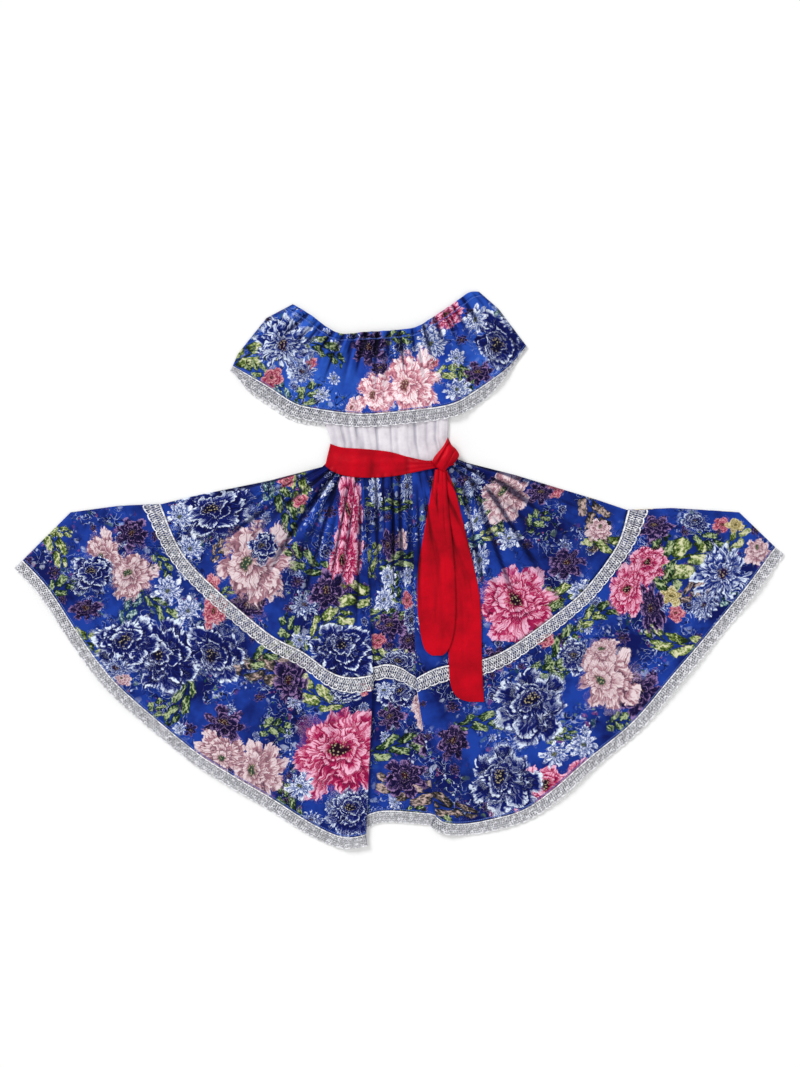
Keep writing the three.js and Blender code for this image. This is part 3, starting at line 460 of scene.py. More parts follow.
def spline_points(points, steps=40):
    """The smooth curve through some points, as the part's source draws it, with many points."""
    held = np.array(points, float)
    before = np.vstack([held[:1], held[:-1]])
    after = np.vstack([held[1:], held[-1:]])
    share = np.linspace(0, 1, steps, endpoint=False)[:, None]
    drawn = []
    for i in range(len(held) - 1):
        start, end = held[i], held[i + 1]
        leaving = (end - before[i]) / 2
        arriving = (after[i + 1] - start) / 2
        drawn.append((2 * start - 2 * end + leaving + arriving) * share ** 3
                     + (3 * end - 3 * start - 2 * leaving - arriving) * share ** 2
                     + leaving * share + start)
    return np.vstack([*drawn, held[-1:]])


def curve(points, by_length=True):
    """A function from a share of the curve to its points."""
    drawn = spline_points(points)
    steps = np.linalg.norm(np.diff(drawn, axis=0), axis=1) if by_length else np.ones(len(drawn) - 1)
    share = np.concatenate([[0], np.cumsum(steps)]) / steps.sum()
    return lambda t: np.stack([np.interp(t, share, drawn[:, k]) for k in (0, 1)], -1)


def moved_out(points, distance):
    """The points moved to the right of their direction, which is towards the hem."""
    held = np.array(points, float)
    ahead = np.vstack([held[1:], held[-1:]]) - np.vstack([held[:1], held[:-1]])
    ahead /= np.linalg.norm(ahead, axis=1)[:, None]
    return held + distance * np.stack([ahead[:, 1], -ahead[:, 0]], 1)


def edge_shift(edge, v):
    """How far a side edge lies from the straight line between its ends."""
    share, x, y = np.array(edge, float).T
    return np.stack([np.interp(v, share, line) - (line[0] + (line[-1] - line[0]) * v)
                     for line in (x, y)], -1)


def patch(top, bottom, left=None, right=None, reach=SKIRT_EDGE_REACH):
    """A function from shares across and down a piece of cloth to the plan, between its edges."""
    def place(t, v):
        t, v = np.broadcast_arrays(np.asarray(t, float), np.asarray(v, float))
        point = top(t) * (1 - v)[..., None] + bottom(t) * v[..., None]
        if left:
            point = point + edge_shift(left, v) * ((1 - t) ** reach)[..., None]
        if right:
            point = point + edge_shift(right, v) * (t ** reach)[..., None]
        return point
    return place


def waist_points(start, end):
    """Points along the bow of the waist."""
    x = np.linspace(start, end, 5)
    return np.stack([x, WAIST_LOW_POINT[1] + WAIST_BEND * (x - WAIST_LOW_POINT[0]) ** 2], 1)


# The waist's runs, which overlap at the two tucks
WAIST = {
    "left": waist_points(WAIST_LEFT, -89),
    "centre": waist_points(-112, 57),
    "right": waist_points(34, WAIST_RIGHT),
}


def creased(t, v, table):
    """Height of the soft ridges and troughs that run down the cloth."""
    height = np.zeros(np.broadcast(t, v).shape)
    for start, lean, width, rise, begins, ends in table:
        across = (t - start - lean * v) / width
        showing = smooth(begins - 0.03, begins + 0.06, v) * (1 - smooth(0.45 * ends, ends, v))
        height = height + rise * np.exp(-across ** 2) * showing
    return height


def long_creased(plan):
    """Height of the skirt's long creases at points of the plan."""
    height = np.zeros(plan.shape[:-1])
    for x, y, end_x, end_y, width, rise in LONG_CREASES:
        start = np.array([x, y], float)
        along = np.array([end_x, end_y], float) - start
        length = np.linalg.norm(along)
        share = (plan - start) @ along / length ** 2
        away = np.abs((plan[..., 0] - x) * along[1] - (plan[..., 1] - y) * along[0]) / length
        showing = smooth(-0.05, 0.25, share) * (1 - smooth(0.6, 1.05, share))
        height = height + rise * np.exp(-(away / width) ** 2) * showing
    return height


# Grids of points at the middle of each cloth's thickness, in millimetres of the plan

def joined(plan, height):
    """Points from their places in the plan and their heights."""
    return np.concatenate([plan, np.broadcast_to(height, plan.shape[:-1])[..., None]], -1)


def lift_at(share):
    """How far the sash and the lace beneath lift the skirt: 0 at the waist, 1 at the seam, 2 at the hem."""
    over_sash = WAIST_LIFT * (1 - smooth(0.08, 0.4, share))
    over_lace = LACE_LIFT * np.minimum(smooth(0.85, 1, share), 1 - smooth(1 + LACE_SHARE, 1.22, share))
    return np.maximum(over_sash, over_lace)


def wave_at(t, share):
    """Height of a side run's gathers and folds; t is the share across from its outer edge."""
    flat = smooth(0, 0.06, t) * (1 - smooth(0.78, 0.9, t))
    ridge = np.sin(np.pi * SIDE_GATHERS * (t + 0.02 * np.sin(9 * t))) ** 2
    swell = np.sin(np.pi * SIDE_FOLDS * (t + 0.05 * np.sin(7 * t))) ** 2
    under_sash = 0.45 + 0.55 * smooth(0.04, 0.2, share)
    gathers = GATHER_HEIGHT * under_sash * (1 - smooth(0.15, 1.1, share))
    return flat * (gathers * ridge + FOLD_HEIGHT * smooth(0.3, 1.5, share) * swell)


def puffed(share):
    """The gathered cloth stands off the layer below near the waist, so that its folds have room."""
    return WAIST_PUFF * smooth(0.03, 0.16, share) * (1 - smooth(0.4, 0.85, share))


def half_turn(hinge, direction, radius, middle):
    """Points round a turn of a tuck, from its upper side to its lower side."""
    angle = np.pi * (0.5 - np.arange(TURN_STEPS + 1) / TURN_STEPS)
    along = radius * (np.cos(angle) - 1)
    plan = hinge[:, None, :] + direction[:, None, :] * along[None, :, None]
    return joined(plan, middle[:, None] + radius * np.sin(angle)[None, :])


def side_run(place, side, table, v, share, level):
    """A side of the front skirt up to its tuck, and the tuck's two turns."""
    at_left = side == "left"
    hinge = place(side, 1.0 if at_left else 0.0, v)
    hidden = place("centre", 0.0 if at_left else 1.0, v)
    overlap = np.linalg.norm(hinge - hidden, axis=-1)
    from_edge = np.arange(SIDE_COLUMNS) / SIDE_COLUMNS
    t = from_edge if at_left else 1 - from_edge[::-1]
    plan = place(side, t[None, :], v[:, None])
    reach = np.linalg.norm(plan - hinge[:, None, :], axis=-1)
    near = overlap[:, None] + TUCK_MARGIN
    rise = (TUCK_LOWER_STEP + TUCK_UPPER_STEP) * (1 - smooth(near, near + TUCK_RISE_REACH, reach))
    edge_share = t if at_left else 1 - t
    height = level[:, None] + rise + wave_at(edge_share[None, :], share[:, None])
    small = creased(t[None, :], share[:, None], table) + long_creased(plan) + puffed(share)[:, None]
    clear = smooth(0, 0.04, edge_share) * smooth(*TUCK_CLEARANCE, reach)
    run = joined(plan, np.maximum(height + small * clear, level[:, None]))
    outward = (hinge - hidden) / overlap[:, None]
    upper, lower = TUCK_UPPER_STEP / 2, TUCK_LOWER_STEP / 2
    top = half_turn(hinge, outward, upper, level + TUCK_LOWER_STEP + upper)
    under = half_turn(hidden, -outward, lower, level + lower)
    return run, np.concatenate([top, under], 1)


def centre_run(place, v, share, level):
    """The middle of the front skirt, which runs on under both tucks, where it lies flat."""
    t = np.arange(1, CENTRE_COLUMNS) / CENTRE_COLUMNS
    plan = place("centre", t[None, :], v[:, None])
    clear = smooth(0.2, 0.34, t) * (1 - smooth(0.66, 0.8, t))
    ridge = np.sin(np.pi * CENTRE_GATHERS * t) ** 2
    gathers = 0.6 * GATHER_HEIGHT * (1 - smooth(0.2, 0.75, share))[:, None] * ridge
    small = creased(t[None, :], share[:, None], CENTRE_CREASES)
    small = small + long_creased(plan) + puffed(share)[:, None]
    return joined(plan, level[:, None] + np.maximum(clear * (gathers + small), 0))


def tucked_grid(place, v, share):
    """The front skirt: left side, tuck, centre, tuck and right side, and each column's run."""
    level = BACK_LEVEL + LAYER_STEP + lift_at(share)
    left, left_tuck = side_run(place, "left", LEFT_CREASES, v, share, level)
    right, right_tuck = side_run(place, "right", RIGHT_CREASES, v, share, level)
    centre = centre_run(place, v, share, level)
    pieces = [(left, "left"), (left_tuck, "left"), (centre, "centre"), (right_tuck[:, ::-1], "right"),
              (right, "right")]
    run = np.concatenate([np.full(grid.shape[1], RUN_NUMBERS[name]) for grid, name in pieces])
    return np.concatenate([grid for grid, name in pieces], 1), run


def front_place(top, bottom, left=None, right=None):
    """A tier's front: a function from a run and shares across and down it to the plan."""
    sides = {"left": {"left": left}, "centre": {}, "right": {"right": right}}
    patches = {run: patch(curve(top[run]), curve(bottom[run]), **sides[run]) for run in sides}
    return lambda run, t, v: patches[run](t, v)


def back_line(line):
    """The front's line without its tucks, for the back."""
    return [*line["left"][:-1], *line["centre"][1:-1], *line["right"][1:]]


def drawn_in(place, centre):
    """The same place on the back, which is a little smaller."""
    return lambda t, v: (place(t, v) - centre) * BACK_INSET + centre


def flat_grid(place, v, columns, height_at):
    """A grid without tucks over the whole width of a piece."""
    t = np.linspace(0, 1, columns + 1)
    plan = place(t[None, :], v[:, None])
    return joined(plan, height_at(t[None, :], v[:, None], plan))


def surface(mesh):
    """A mesh as a tree that rays can be cast at."""
    points = [vertex.co.copy() for vertex in mesh.vertices]
    return BVHTree.FromPolygons(points, [tuple(face.vertices) for face in mesh.polygons])


def top_below(tree, x, y):
    """The highest point of a surface at a place of the model, or nothing."""
    return tree.ray_cast(Vector((x, y, RAY_START)), Vector((0, 0, -1)))[0]


def resting_height(name, plan, wall):
    """Middle of a CAD node's wall below each point of the plan, smoothed over its neighbours."""
    tree = surface(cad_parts[name].data)
    heights = np.empty(plan.shape[:2])
    for row, column in np.ndindex(*heights.shape):
        x, y = plan[row, column] * MM + PLAN_SHIFT
        hit = top_below(tree, x, y)
        if hit is None:
            hit = tree.find_nearest(Vector((x, y, NEAR_CLOTH)))[0]
        heights[row, column] = hit.z / MM - wall / 2
    for _ in range(RESTING_BLURS):
        wide = np.pad(heights, 1, mode="edge")
        across = (wide[1:-1, :-2] + 2 * wide[1:-1, 1:-1] + wide[1:-1, 2:]) / 4
        wide = np.pad(across, 1, mode="edge")
        heights = (wide[:-2, 1:-1] + 2 * wide[1:-1, 1:-1] + wide[2:, 1:-1]) / 4
    return heights


def resting_over(name, plan, wall, below, relief):
    """As resting_height with a relief added, and never lower than the pieces already laid below it."""
    heights = resting_height(name, plan, wall) + relief
    trees = [surface(bpy.data.objects[piece_name].data) for piece_name in below]
    lowest = np.full(plan.shape[:2], -1.0)
    for row, column in np.ndindex(*lowest.shape):
        for tree in trees:
            hit = top_below(tree, *(plan[row, column] * MM + PLAN_SHIFT))
            if hit is not None:
                lowest[row, column] = max(lowest[row, column], hit.z / MM)
    wide = np.pad(lowest, OVER_REACH, mode="edge")
    rows, columns = lowest.shape
    steps = range(2 * OVER_REACH + 1)
    highest = np.max([wide[i:i + rows, j:j + columns] for i in steps for j in steps], axis=0)
    return np.maximum(heights, highest + wall / 2 + OVER_GAP)


# Meshes from grids

def grid_normals(grid):
    """Directions straight out of the cloth's upper side."""
    down = np.gradient(grid, axis=0)
    across = np.gradient(grid, axis=1)
    normal = np.cross(down, across)
    return normal / np.maximum(np.linalg.norm(normal, axis=-1, keepdims=True), 1e-9)


def placed(points):
    """Points of the plan, in millimetres, in the model's own frame."""
    moved = np.array(points, float) * MM
    moved[..., :2] += PLAN_SHIFT
    return moved


def travelled_along(line):
    """Distance along a line at each of its points."""
    return np.concatenate([[0], np.cumsum(np.linalg.norm(np.diff(line, axis=0), axis=1))])


def valley_depth(grid):
    """How far each point lies in a valley of the cloth, from 0 to 1, where folds keep the light out: the
    materials paint shade there by it.
    """
    depth = np.zeros(grid.shape[:2])
    for row, line in enumerate(grid):
        height = line[:, 2]
        steps = np.linalg.norm(np.diff(line[:, :2], axis=0), axis=1)
        travelled = np.concatenate([[0], np.cumsum(steps)])
        summed = np.concatenate([[0], np.cumsum(steps * (height[1:] + height[:-1]) / 2)])
        first = np.clip(travelled - VALLEY_REACH, 0, travelled[-1])
        last = np.clip(travelled + VALLEY_REACH, 0, travelled[-1])
        around = np.interp(last, travelled, summed) - np.interp(first, travelled, summed)
        depth[row] = around / (last - first) - height
    return np.clip(depth / VALLEY_FULL, 0, 1)


def in_scene(name, data):
    """Adds an object with this data to the scene."""
    added = bpy.data.objects.new(name, data)
    bpy.context.scene.collection.objects.link(added)
    return added


def dress_piece(name, mesh):
    """Puts a finished mesh into the scene as a piece of the dress."""
    piece = in_scene(name, mesh)
    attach(piece, "root")
    return piece


def new_piece(name, points, faces, material):
    """A piece of the dress from points of the plan and its faces."""
    mesh = bpy.data.meshes.new(name)
    mesh.from_pydata(placed(points).tolist(), [], faces.tolist())
    mesh.materials.append(material)
    mesh.shade_smooth()
    return dress_piece(name, mesh)


def shell(name, grid, thickness, material):
    """A closed sheet of cloth round a grid; its narrow rim keeps its own flat shading."""
    rows, columns = grid.shape[:2]
    half = grid_normals(grid) * thickness / 2
    points = np.concatenate([(grid + half).reshape(-1, 3), (grid - half).reshape(-1, 3)])
    number = np.arange(rows * columns).reshape(rows, columns)
    under = number + rows * columns
    top = np.stack([number[:-1, :-1], number[1:, :-1], number[1:, 1:], number[:-1, 1:]], -1)
    base = np.stack([under[:-1, :-1], under[:-1, 1:], under[1:, 1:], under[1:, :-1]], -1)
    sides = [
        np.stack([number[:-1, 0], under[:-1, 0], under[1:, 0], number[1:, 0]], -1),
        np.stack([number[:-1, -1], number[1:, -1], under[1:, -1], under[:-1, -1]], -1),
        np.stack([number[0, :-1], number[0, 1:], under[0, 1:], under[0, :-1]], -1),
        np.stack([number[-1, :-1], under[-1, :-1], under[-1, 1:], number[-1, 1:]], -1),
    ]
    faces = np.concatenate([top.reshape(-1, 4), base.reshape(-1, 4), *sides])
    piece = new_piece(name, points, faces, material)
    smooth_faces = np.zeros(len(faces), bool)
    smooth_faces[:2 * (rows - 1) * (columns - 1)] = True
    piece.data.polygons.foreach_set("use_smooth", smooth_faces)
    # Each point's valley depth, by which the materials paint shade into the folds
    valley = piece.data.attributes.new("valley", "FLOAT", "POINT")
    valley.data.foreach_set("value", np.tile(valley_depth(grid).ravel(), 2).astype(np.float32))
    return piece, faces


# The print: every face of the cloth knows its place on the motif nearest to it, in each layer

def motif_row(run, x, y, radius, turn, squash, kind):
    """A motif's row: run, x, y, radius, turn, squash, place in the colour ramps, petals, gap."""
    place, petals, gap = kind
    return [run, x, y, radius, turn, squash, (place + 0.5) / KIND_STEPS, petals, gap]


def motif_rows(table, kinds, spread):
    """The rows of the motifs of a front piece."""
    rows = []
    for run, motifs in table.items():
        for kind, x, y, radius, turn, squash in motifs:
            x = (x - PHOTO_MIDDLE[0]) * PHOTO_SCALE
            y = (PHOTO_MIDDLE[1] - y) * PHOTO_SCALE
            radius = radius * PHOTO_SCALE * spread
            rows.append(motif_row(RUN_NUMBERS[run], x, y, radius, math.radians(turn), squash, kinds[kind]))
    return np.array(rows, float)


def into_layers(rows, count):
    """Shares the motifs out so that no two of a layer meet, the last layer taking what is left."""
    layers = [[] for _ in range(count)]
    for row in rows:
        for layer in layers:
            gaps = [math.dist(row[1:3], other[1:3]) - row[3] - other[3] for other in layer]
            if layer is layers[-1] or min(gaps, default=LAYER_MARGIN) >= LAYER_MARGIN:
                layer.append(row)
                break
    return [np.array(layer) for layer in layers]


def lay_print(piece, faces, plan, run, layers, names):
    """Writes each corner's place on its face's motif, as two vectors for each layer."""
    middle = plan[faces].mean(1)
    face_run = run[faces[:, 0]]
    for layer, name in zip(layers, names):
        place = np.full((len(faces), 4, 3), FAR_AWAY)
        look = np.zeros((len(faces), 4, 3))
        if len(layer):
            away = np.linalg.norm(middle[:, None, :] - layer[None, :, 1:3], axis=-1) / layer[None, :, 3]
            other = (layer[None, :, 0] >= 0) & (layer[None, :, 0] != face_run[:, None])
            away[other] = FAR_AWAY
            nearest = away.argmin(1)
            chosen = layer[nearest]
            offset = plan[faces] - chosen[:, None, 1:3]
            turn = chosen[:, 4][:, None]
            radius = chosen[:, 3][:, None]
            x = (offset[..., 0] * np.cos(turn) + offset[..., 1] * np.sin(turn)) / radius
            y = (offset[..., 1] * np.cos(turn) - offset[..., 0] * np.sin(turn)) / radius
            near = (away.min(1) < NEAR_MOTIF)[:, None]
            place[..., 0] = np.where(near, x, FAR_AWAY)
            place[..., 1] = np.where(near, y / chosen[:, 5][:, None], FAR_AWAY)
            place[..., 2] = nearest[:, None] + MOTIF_SEED
            look[:] = chosen[:, None, 6:9]
        for suffix, values in (("place", place), ("look", look)):
            attribute = piece.data.attributes.new(f"{name}_{suffix}", "FLOAT_VECTOR", "CORNER")
            attribute.data.foreach_set("vector", values.ravel().astype(np.float32))


def scattered(kinds, plan, sizes, spacing, seed):
    """Motifs strewn evenly over a piece, for the hidden back and for the small flowers."""
    random = np.random.default_rng(seed)
    low, high = plan.min(0), plan.max(0)
    step = spacing * SCATTER_STEP
    rows = []
    for x in np.arange(low[0], high[0], step):
        for y in np.arange(low[1], high[1], step):
            kind = kinds[random.integers(len(kinds))]
            aside, along = random.uniform(-SCATTER_SHIFT, SCATTER_SHIFT, 2) * spacing
            radius = random.uniform(*sizes)
            turn = random.uniform(0, 6)
            squash = random.uniform(0.7, 1)
            rows.append(motif_row(RUN_NUMBERS["all"], x + aside, y + along, radius, turn, squash, kind))
    return np.array(rows)


BLOOM_NAMES = [f"bloom_{i}" for i in range(BLOOM_LAYERS)]
LEAF_NAMES = [f"leaf_{i}" for i in range(LEAF_LAYERS)]


def print_cloth(piece, faces, plan, run, blooms, leaves, seed):
    """Prints a cloth with blooms and leaves, and with small flowers all over below them."""
    small = scattered([BLOOM_KINDS[name] for name in FILLER_KINDS], plan, FILLER_SIZES, FILLER_SPACING, seed)
    lay_print(piece, faces, plan, run, into_layers(blooms, BLOOM_LAYERS), BLOOM_NAMES)
    lay_print(piece, faces, plan, run, into_layers(leaves, LEAF_LAYERS), LEAF_NAMES)
    lay_print(piece, faces, plan, run, [small], ["filler"])


def corner_plan(grid):
    """The plan of a shell's points, which are the grid's twice."""
    return np.tile(grid.reshape(-1, 3)[:, :2], (2, 1))


def print_front(piece, faces, grid, run, blooms, leaves):
    """Prints a front piece with the motifs placed on its runs."""
    bloom_rows = motif_rows(blooms, BLOOM_KINDS, BLOOM_SPREAD)
    leaf_rows = motif_rows(leaves, LEAF_KINDS, LEAF_SPREAD)
    print_cloth(piece, faces, corner_plan(grid), np.tile(run, 2 * len(grid)), bloom_rows, leaf_rows,
                FRONT_FILLER_SEED)


def print_back(piece, faces, grid, seed):
    """Prints a back piece, which the photo doesn't show, with the same motifs in a scatter."""
    plan = corner_plan(grid)
    blooms = scattered(list(BLOOM_KINDS.values()), plan, BACK_BLOOM_SIZES, BACK_SPACING, seed)
    leaves = scattered(list(LEAF_KINDS.values()), plan, BACK_LEAF_SIZES, BACK_SPACING * 0.8, seed + 1)
    print_cloth(piece, faces, plan, np.zeros(len(plan), int), blooms, leaves, seed + 2)


# Materials

def linear(colour):
    """An sRGB hex colour as Blender's linear red, green, blue and alpha."""
    parts = [int(colour[i:i + 2], 16) / 255 for i in (1, 3, 5)]
    return [*(part / 12.92 if part <= 0.04045 else ((part + 0.055) / 1.055) ** 2.4 for part in parts), 1]


# Kinds of node, each with the setting that makes it what it is
PLUS = ("ShaderNodeMath", {"operation": "ADD"})
MINUS = ("ShaderNodeMath", {"operation": "SUBTRACT"})
TIMES = ("ShaderNodeMath", {"operation": "MULTIPLY"})
TIMES_PLUS = ("ShaderNodeMath", {"operation": "MULTIPLY_ADD"})
DIVIDED = ("ShaderNodeMath", {"operation": "DIVIDE"})
LARGER = ("ShaderNodeMath", {"operation": "MAXIMUM"})
UNSIGNED = ("ShaderNodeMath", {"operation": "ABSOLUTE"})
WHOLE = ("ShaderNodeMath", {"operation": "FLOOR"})
FRACTION = ("ShaderNodeMath", {"operation": "FRACT"})
REMAINDER = ("ShaderNodeMath", {"operation": "FLOORED_MODULO"})
POWER = ("ShaderNodeMath", {"operation": "POWER"})
ANGLE = ("ShaderNodeMath", {"operation": "ARCTAN2"})
ABOVE = ("ShaderNodeMath", {"operation": "GREATER_THAN"})
VECTOR_PLUS = ("ShaderNodeVectorMath", {"operation": "ADD"})
VECTOR_MINUS = ("ShaderNodeVectorMath", {"operation": "SUBTRACT"})
VECTOR_TIMES = ("ShaderNodeVectorMath", {"operation": "MULTIPLY"})
VECTOR_TIMES_PLUS = ("ShaderNodeVectorMath", {"operation": "MULTIPLY_ADD"})
VECTOR_SCALED = ("ShaderNodeVectorMath", {"operation": "SCALE"})
LENGTH = ("ShaderNodeVectorMath", {"operation": "LENGTH"})
DIRECTION = ("ShaderNodeVectorMath", {"operation": "NORMALIZE"})
JOIN = ("ShaderNodeCombineXYZ", {})
SPLIT = ("ShaderNodeSeparateXYZ", {})
RANGE = ("ShaderNodeMapRange", {})
SOFT_RANGE = ("ShaderNodeMapRange", {"interpolation_type": "SMOOTHSTEP"})
BLEND = ("ShaderNodeMix", {})
COLOUR_BLEND = ("ShaderNodeMix", {"data_type": "RGBA"})
COLOUR_TIMES = ("ShaderNodeMix", {"data_type": "RGBA", "blend_type": "MULTIPLY"})
NOISE = ("ShaderNodeTexNoise", {})
CELLS = ("ShaderNodeTexVoronoi", {})
CHANCE = ("ShaderNodeTexWhiteNoise", {"noise_dimensions": "3D"})
ATTRIBUTE = ("ShaderNodeAttribute", {})
COORDINATE = ("ShaderNodeTexCoord", {})
GROUP = ("ShaderNodeGroup", {})
RAMP = ("ShaderNodeValToRGB", {})
GAMMA = ("ShaderNodeGamma", {})
WAVE = ("ShaderNodeTexWave", {})
BUMP = ("ShaderNodeBump", {})
POINT_ROW = ("GeometryNodeMeshLine", {})
TILE_AT_POINTS = ("GeometryNodeInstanceOnPoints", {})
REAL_TILES = ("GeometryNodeRealizeInstances", {})
OF_MATERIAL = ("GeometryNodeSetMaterial", {})
GIVEN = ("NodeGroupInput", {})
RESULT = ("NodeGroupOutput", {})


def in_use(sockets):
    return [socket for socket in sockets if socket.enabled]


def node(tree, kind, inputs=(), **settings):
    """Adds a node and gives its first output in use, whose .node leads to its other outputs.

    Its inputs are named, or a row in the order of those in use. Each is a value or a node's output.
    """
    type_name, own_settings = kind
    added = tree.nodes.new(type_name)
    for name, value in {**own_settings, **settings}.items():
        setattr(added, name, value)
    if isinstance(inputs, dict):
        pairs = [(added.inputs[name], value) for name, value in inputs.items()]
    else:
        pairs = zip(in_use(added.inputs), inputs)
    for socket, value in pairs:
        if isinstance(value, bpy.types.NodeSocket):
            tree.links.new(value, socket)
        else:
            socket.default_value = value
    return next(iter(in_use(added.outputs)), None)


def new_group(name, inputs, outputs, tree_type="ShaderNodeTree"):
    """A node group with named sockets, and the outputs of its input node."""
    group = bpy.data.node_groups.new(name, tree_type)
    for side, sockets in (("INPUT", inputs), ("OUTPUT", outputs)):
        for socket_name, kind in sockets.items():
            group.interface.new_socket(name=socket_name, in_out=side, socket_type=f"NodeSocket{kind}")
    return group, node(group, GIVEN).node.outputs


def kind_steps(tree, factor, values):
    """A ramp of even steps, one value for each kind."""
    ramp = node(tree, RAMP, [factor]).node
    ramp.color_ramp.interpolation = "CONSTANT"
    for i, value in enumerate(values):
        step = ramp.color_ramp.elements[0] if i == 0 else ramp.color_ramp.elements.new(i / KIND_STEPS)
        step.color = value
    ramp.color_ramp.elements.remove(ramp.color_ramp.elements[-1])
    return ramp.outputs["Color"]


def kind_colours(tree, factor, colours):
    return kind_steps(tree, factor, [linear(colour) for colour in colours])


def kind_numbers(tree, factor, numbers):
    return kind_steps(tree, factor, [(number, number, number, 1) for number in numbers])


def rippled(tree, place, scale, detail, roughness, reach):
    """The place, moved about by a noise as a hand's brush wanders."""
    ripple = node(tree, NOISE, {"Vector": place, "Scale": scale, "Detail": detail, "Roughness": roughness})
    centred = node(tree, VECTOR_MINUS, [ripple.node.outputs["Color"], (0.5, 0.5, 0.5)])
    return node(tree, VECTOR_TIMES_PLUS, [centred, (reach, reach, 0), place])


def from_half(tree, value):
    """How far a value is from a half, on either side."""
    centred = node(tree, MINUS, [value, 0.5])
    return node(tree, UNSIGNED, [centred])


def three_tones(tree, tone, kind, deep, middle, light):
    """A painted form's colour from its tone: each kind's deep, middle and light colour."""
    low = node(tree, TIMES, [tone, 2.0], use_clamp=True)
    high = node(tree, TIMES_PLUS, [tone, 2.0, -1.0], use_clamp=True)
    dark = node(tree, COLOUR_BLEND, [low, kind_colours(tree, kind, deep), kind_colours(tree, kind, middle)])
    return node(tree, COLOUR_BLEND, [high, dark, kind_colours(tree, kind, light)])


def new_motif(name):
    """A motif's group with its ground, place and look.

    They are worked out only after the layer below, which keeps the shader small.
    """
    group, given = new_group(name, {"Ground": "Color", "Place": "Vector", "Look": "Vector"},
                             {"Colour": "Color"})
    waiting = (1e-7, 1e-7, 1e-7)
    place, look = [node(group, VECTOR_TIMES_PLUS, [given["Ground"], waiting, given[socket_name]])
                   for socket_name in ("Place", "Look")]
    return group, given["Ground"], place, node(group, SPLIT, [look]).node.outputs


def petal_ring_group():
    """One ring of petals painted over the tone below: its rounded tips, joints, shade and streaks."""
    numbers = ["Lean", "Seed", "Petals", "Phase", "Reach", "Gap", "Rim", "Tone", "Cover"]
    group, given = new_group("petal ring", {"Place": "Vector", **dict.fromkeys(numbers, "Float")},
                             {"Tone": "Float", "Cover": "Float"})
    offset = node(group, JOIN, {"Y": given["Lean"]})
    place = node(group, VECTOR_PLUS, [given["Place"], offset])
    radius = node(group, LENGTH, [place])
    parts = node(group, SPLIT, [place]).node.outputs
    angle = node(group, ANGLE, [parts["Y"], parts["X"]])
    turn = node(group, TIMES, [angle, 1 / (2 * math.pi)])
    outward = node(group, DIRECTION, [place])
    fanned = node(group, VECTOR_SCALED, [outward, 6.5])
    down = node(group, TIMES_PLUS, [radius, 1.3, given["Seed"]])
    lifted = node(group, JOIN, {"Z": down})
    grain_place = node(group, VECTOR_PLUS, [fanned, lifted])
    grain = node(group, NOISE, {"Vector": grain_place, "Scale": 2.0, "Detail": 2.0, "Roughness": 0.65})
    streak = node(group, MINUS, [grain, 0.5])
    spun = node(group, TIMES_PLUS, [turn, given["Petals"], given["Phase"]])
    cell = node(group, WHOLE, [spun])
    which = node(group, REMAINDER, [cell, given["Petals"]])
    petal_seed = node(group, JOIN, [which, given["Phase"], given["Reach"]])
    chance = node(group, CHANCE, [petal_seed])
    part = node(group, FRACTION, [spun])
    aside = node(group, TIMES, [from_half(group, part), 2.0])
    pinch = node(group, POWER, [aside, 2.5])
    shorter = node(group, TIMES, [pinch, given["Gap"]])
    varied = node(group, TIMES_PLUS, [chance, 0.34, 0.76])
    frilled = node(group, TIMES_PLUS, [streak, 0.26, varied])
    shape = node(group, MINUS, [frilled, shorter])
    edge = node(group, TIMES, [shape, given["Reach"]])
    safe_edge = node(group, LARGER, [edge, 0.01])
    depth = node(group, DIVIDED, [radius, safe_edge])
    inside = node(group, SOFT_RANGE, [depth, 1.02, 0.98])
    shadow = node(group, RANGE, [depth, 1.0, 1.3, 0.45, 1.0])
    tip = node(group, SOFT_RANGE, [depth, given["Rim"], 1.0])
    joint = node(group, RANGE, [aside, 0.75, 1.0, 0.0, -0.2])
    base = node(group, TIMES_PLUS, [chance, 0.35, 0.08])
    streaked = node(group, TIMES_PLUS, [streak, 1.9, base])
    tip_strength = node(group, TIMES_PLUS, [streak, 1.8, 0.62])
    tipped = node(group, TIMES_PLUS, [tip, tip_strength, streaked])
    petal = node(group, PLUS, [tipped, joint])
    below = node(group, TIMES, [given["Tone"], shadow])
    tone = node(group, BLEND, [inside, below, petal])
    cover = node(group, LARGER, [given["Cover"], inside])
    node(group, RESULT, [tone, cover])
    return group


# The colours and numbers of the blooms, in the order of their places in the ramps
BLOOM_DEEP = ["#4e3b50", "#5c0a38", "#080c42", "#1d2c66", "#070628", "#0a1756", "#641232", "#5c4d2c",
              "#6e4460"]
BLOOM_MIDDLE = ["#ae808c", "#b82462", "#16287c", "#4c66aa", "#20144e", "#1e3a8e", "#ac3c62", "#a89656",
                "#d8909e"]
BLOOM_LIGHT = ["#e6d6da", "#f0c0d6", "#e2ecfa", "#eef3fc", "#a486b4", "#dfe9f8", "#e2b0b4", "#e4dcb8",
               "#fbeef2"]
BLOOM_HEART = ["#3f5346", "#2c0a26", "#070a34", "#415248", "#3c0826", "#2a1440", "#4c1226", "#565026",
               "#7a4a52"]
# Where the pale tip of a petal begins, and how far the rings lean off the heart
BLOOM_RIM = [0.25, 0.45, 0.78, 0.35, 0.75, 0.55, 0.5, 0.4, 0.2]
BLOOM_LEAN = [0.26, 0.15, 0.2, 0.01, 0.13, 0.03, 0.05, 0.05, 0.28]
RING_REACH = (1.0, 0.76, 0.53, 0.33)
FILLER_REACH = (1.0, 0.5)
HEART_REACH = 0.14
STAMEN_COLOUR = "#ddd0a8"


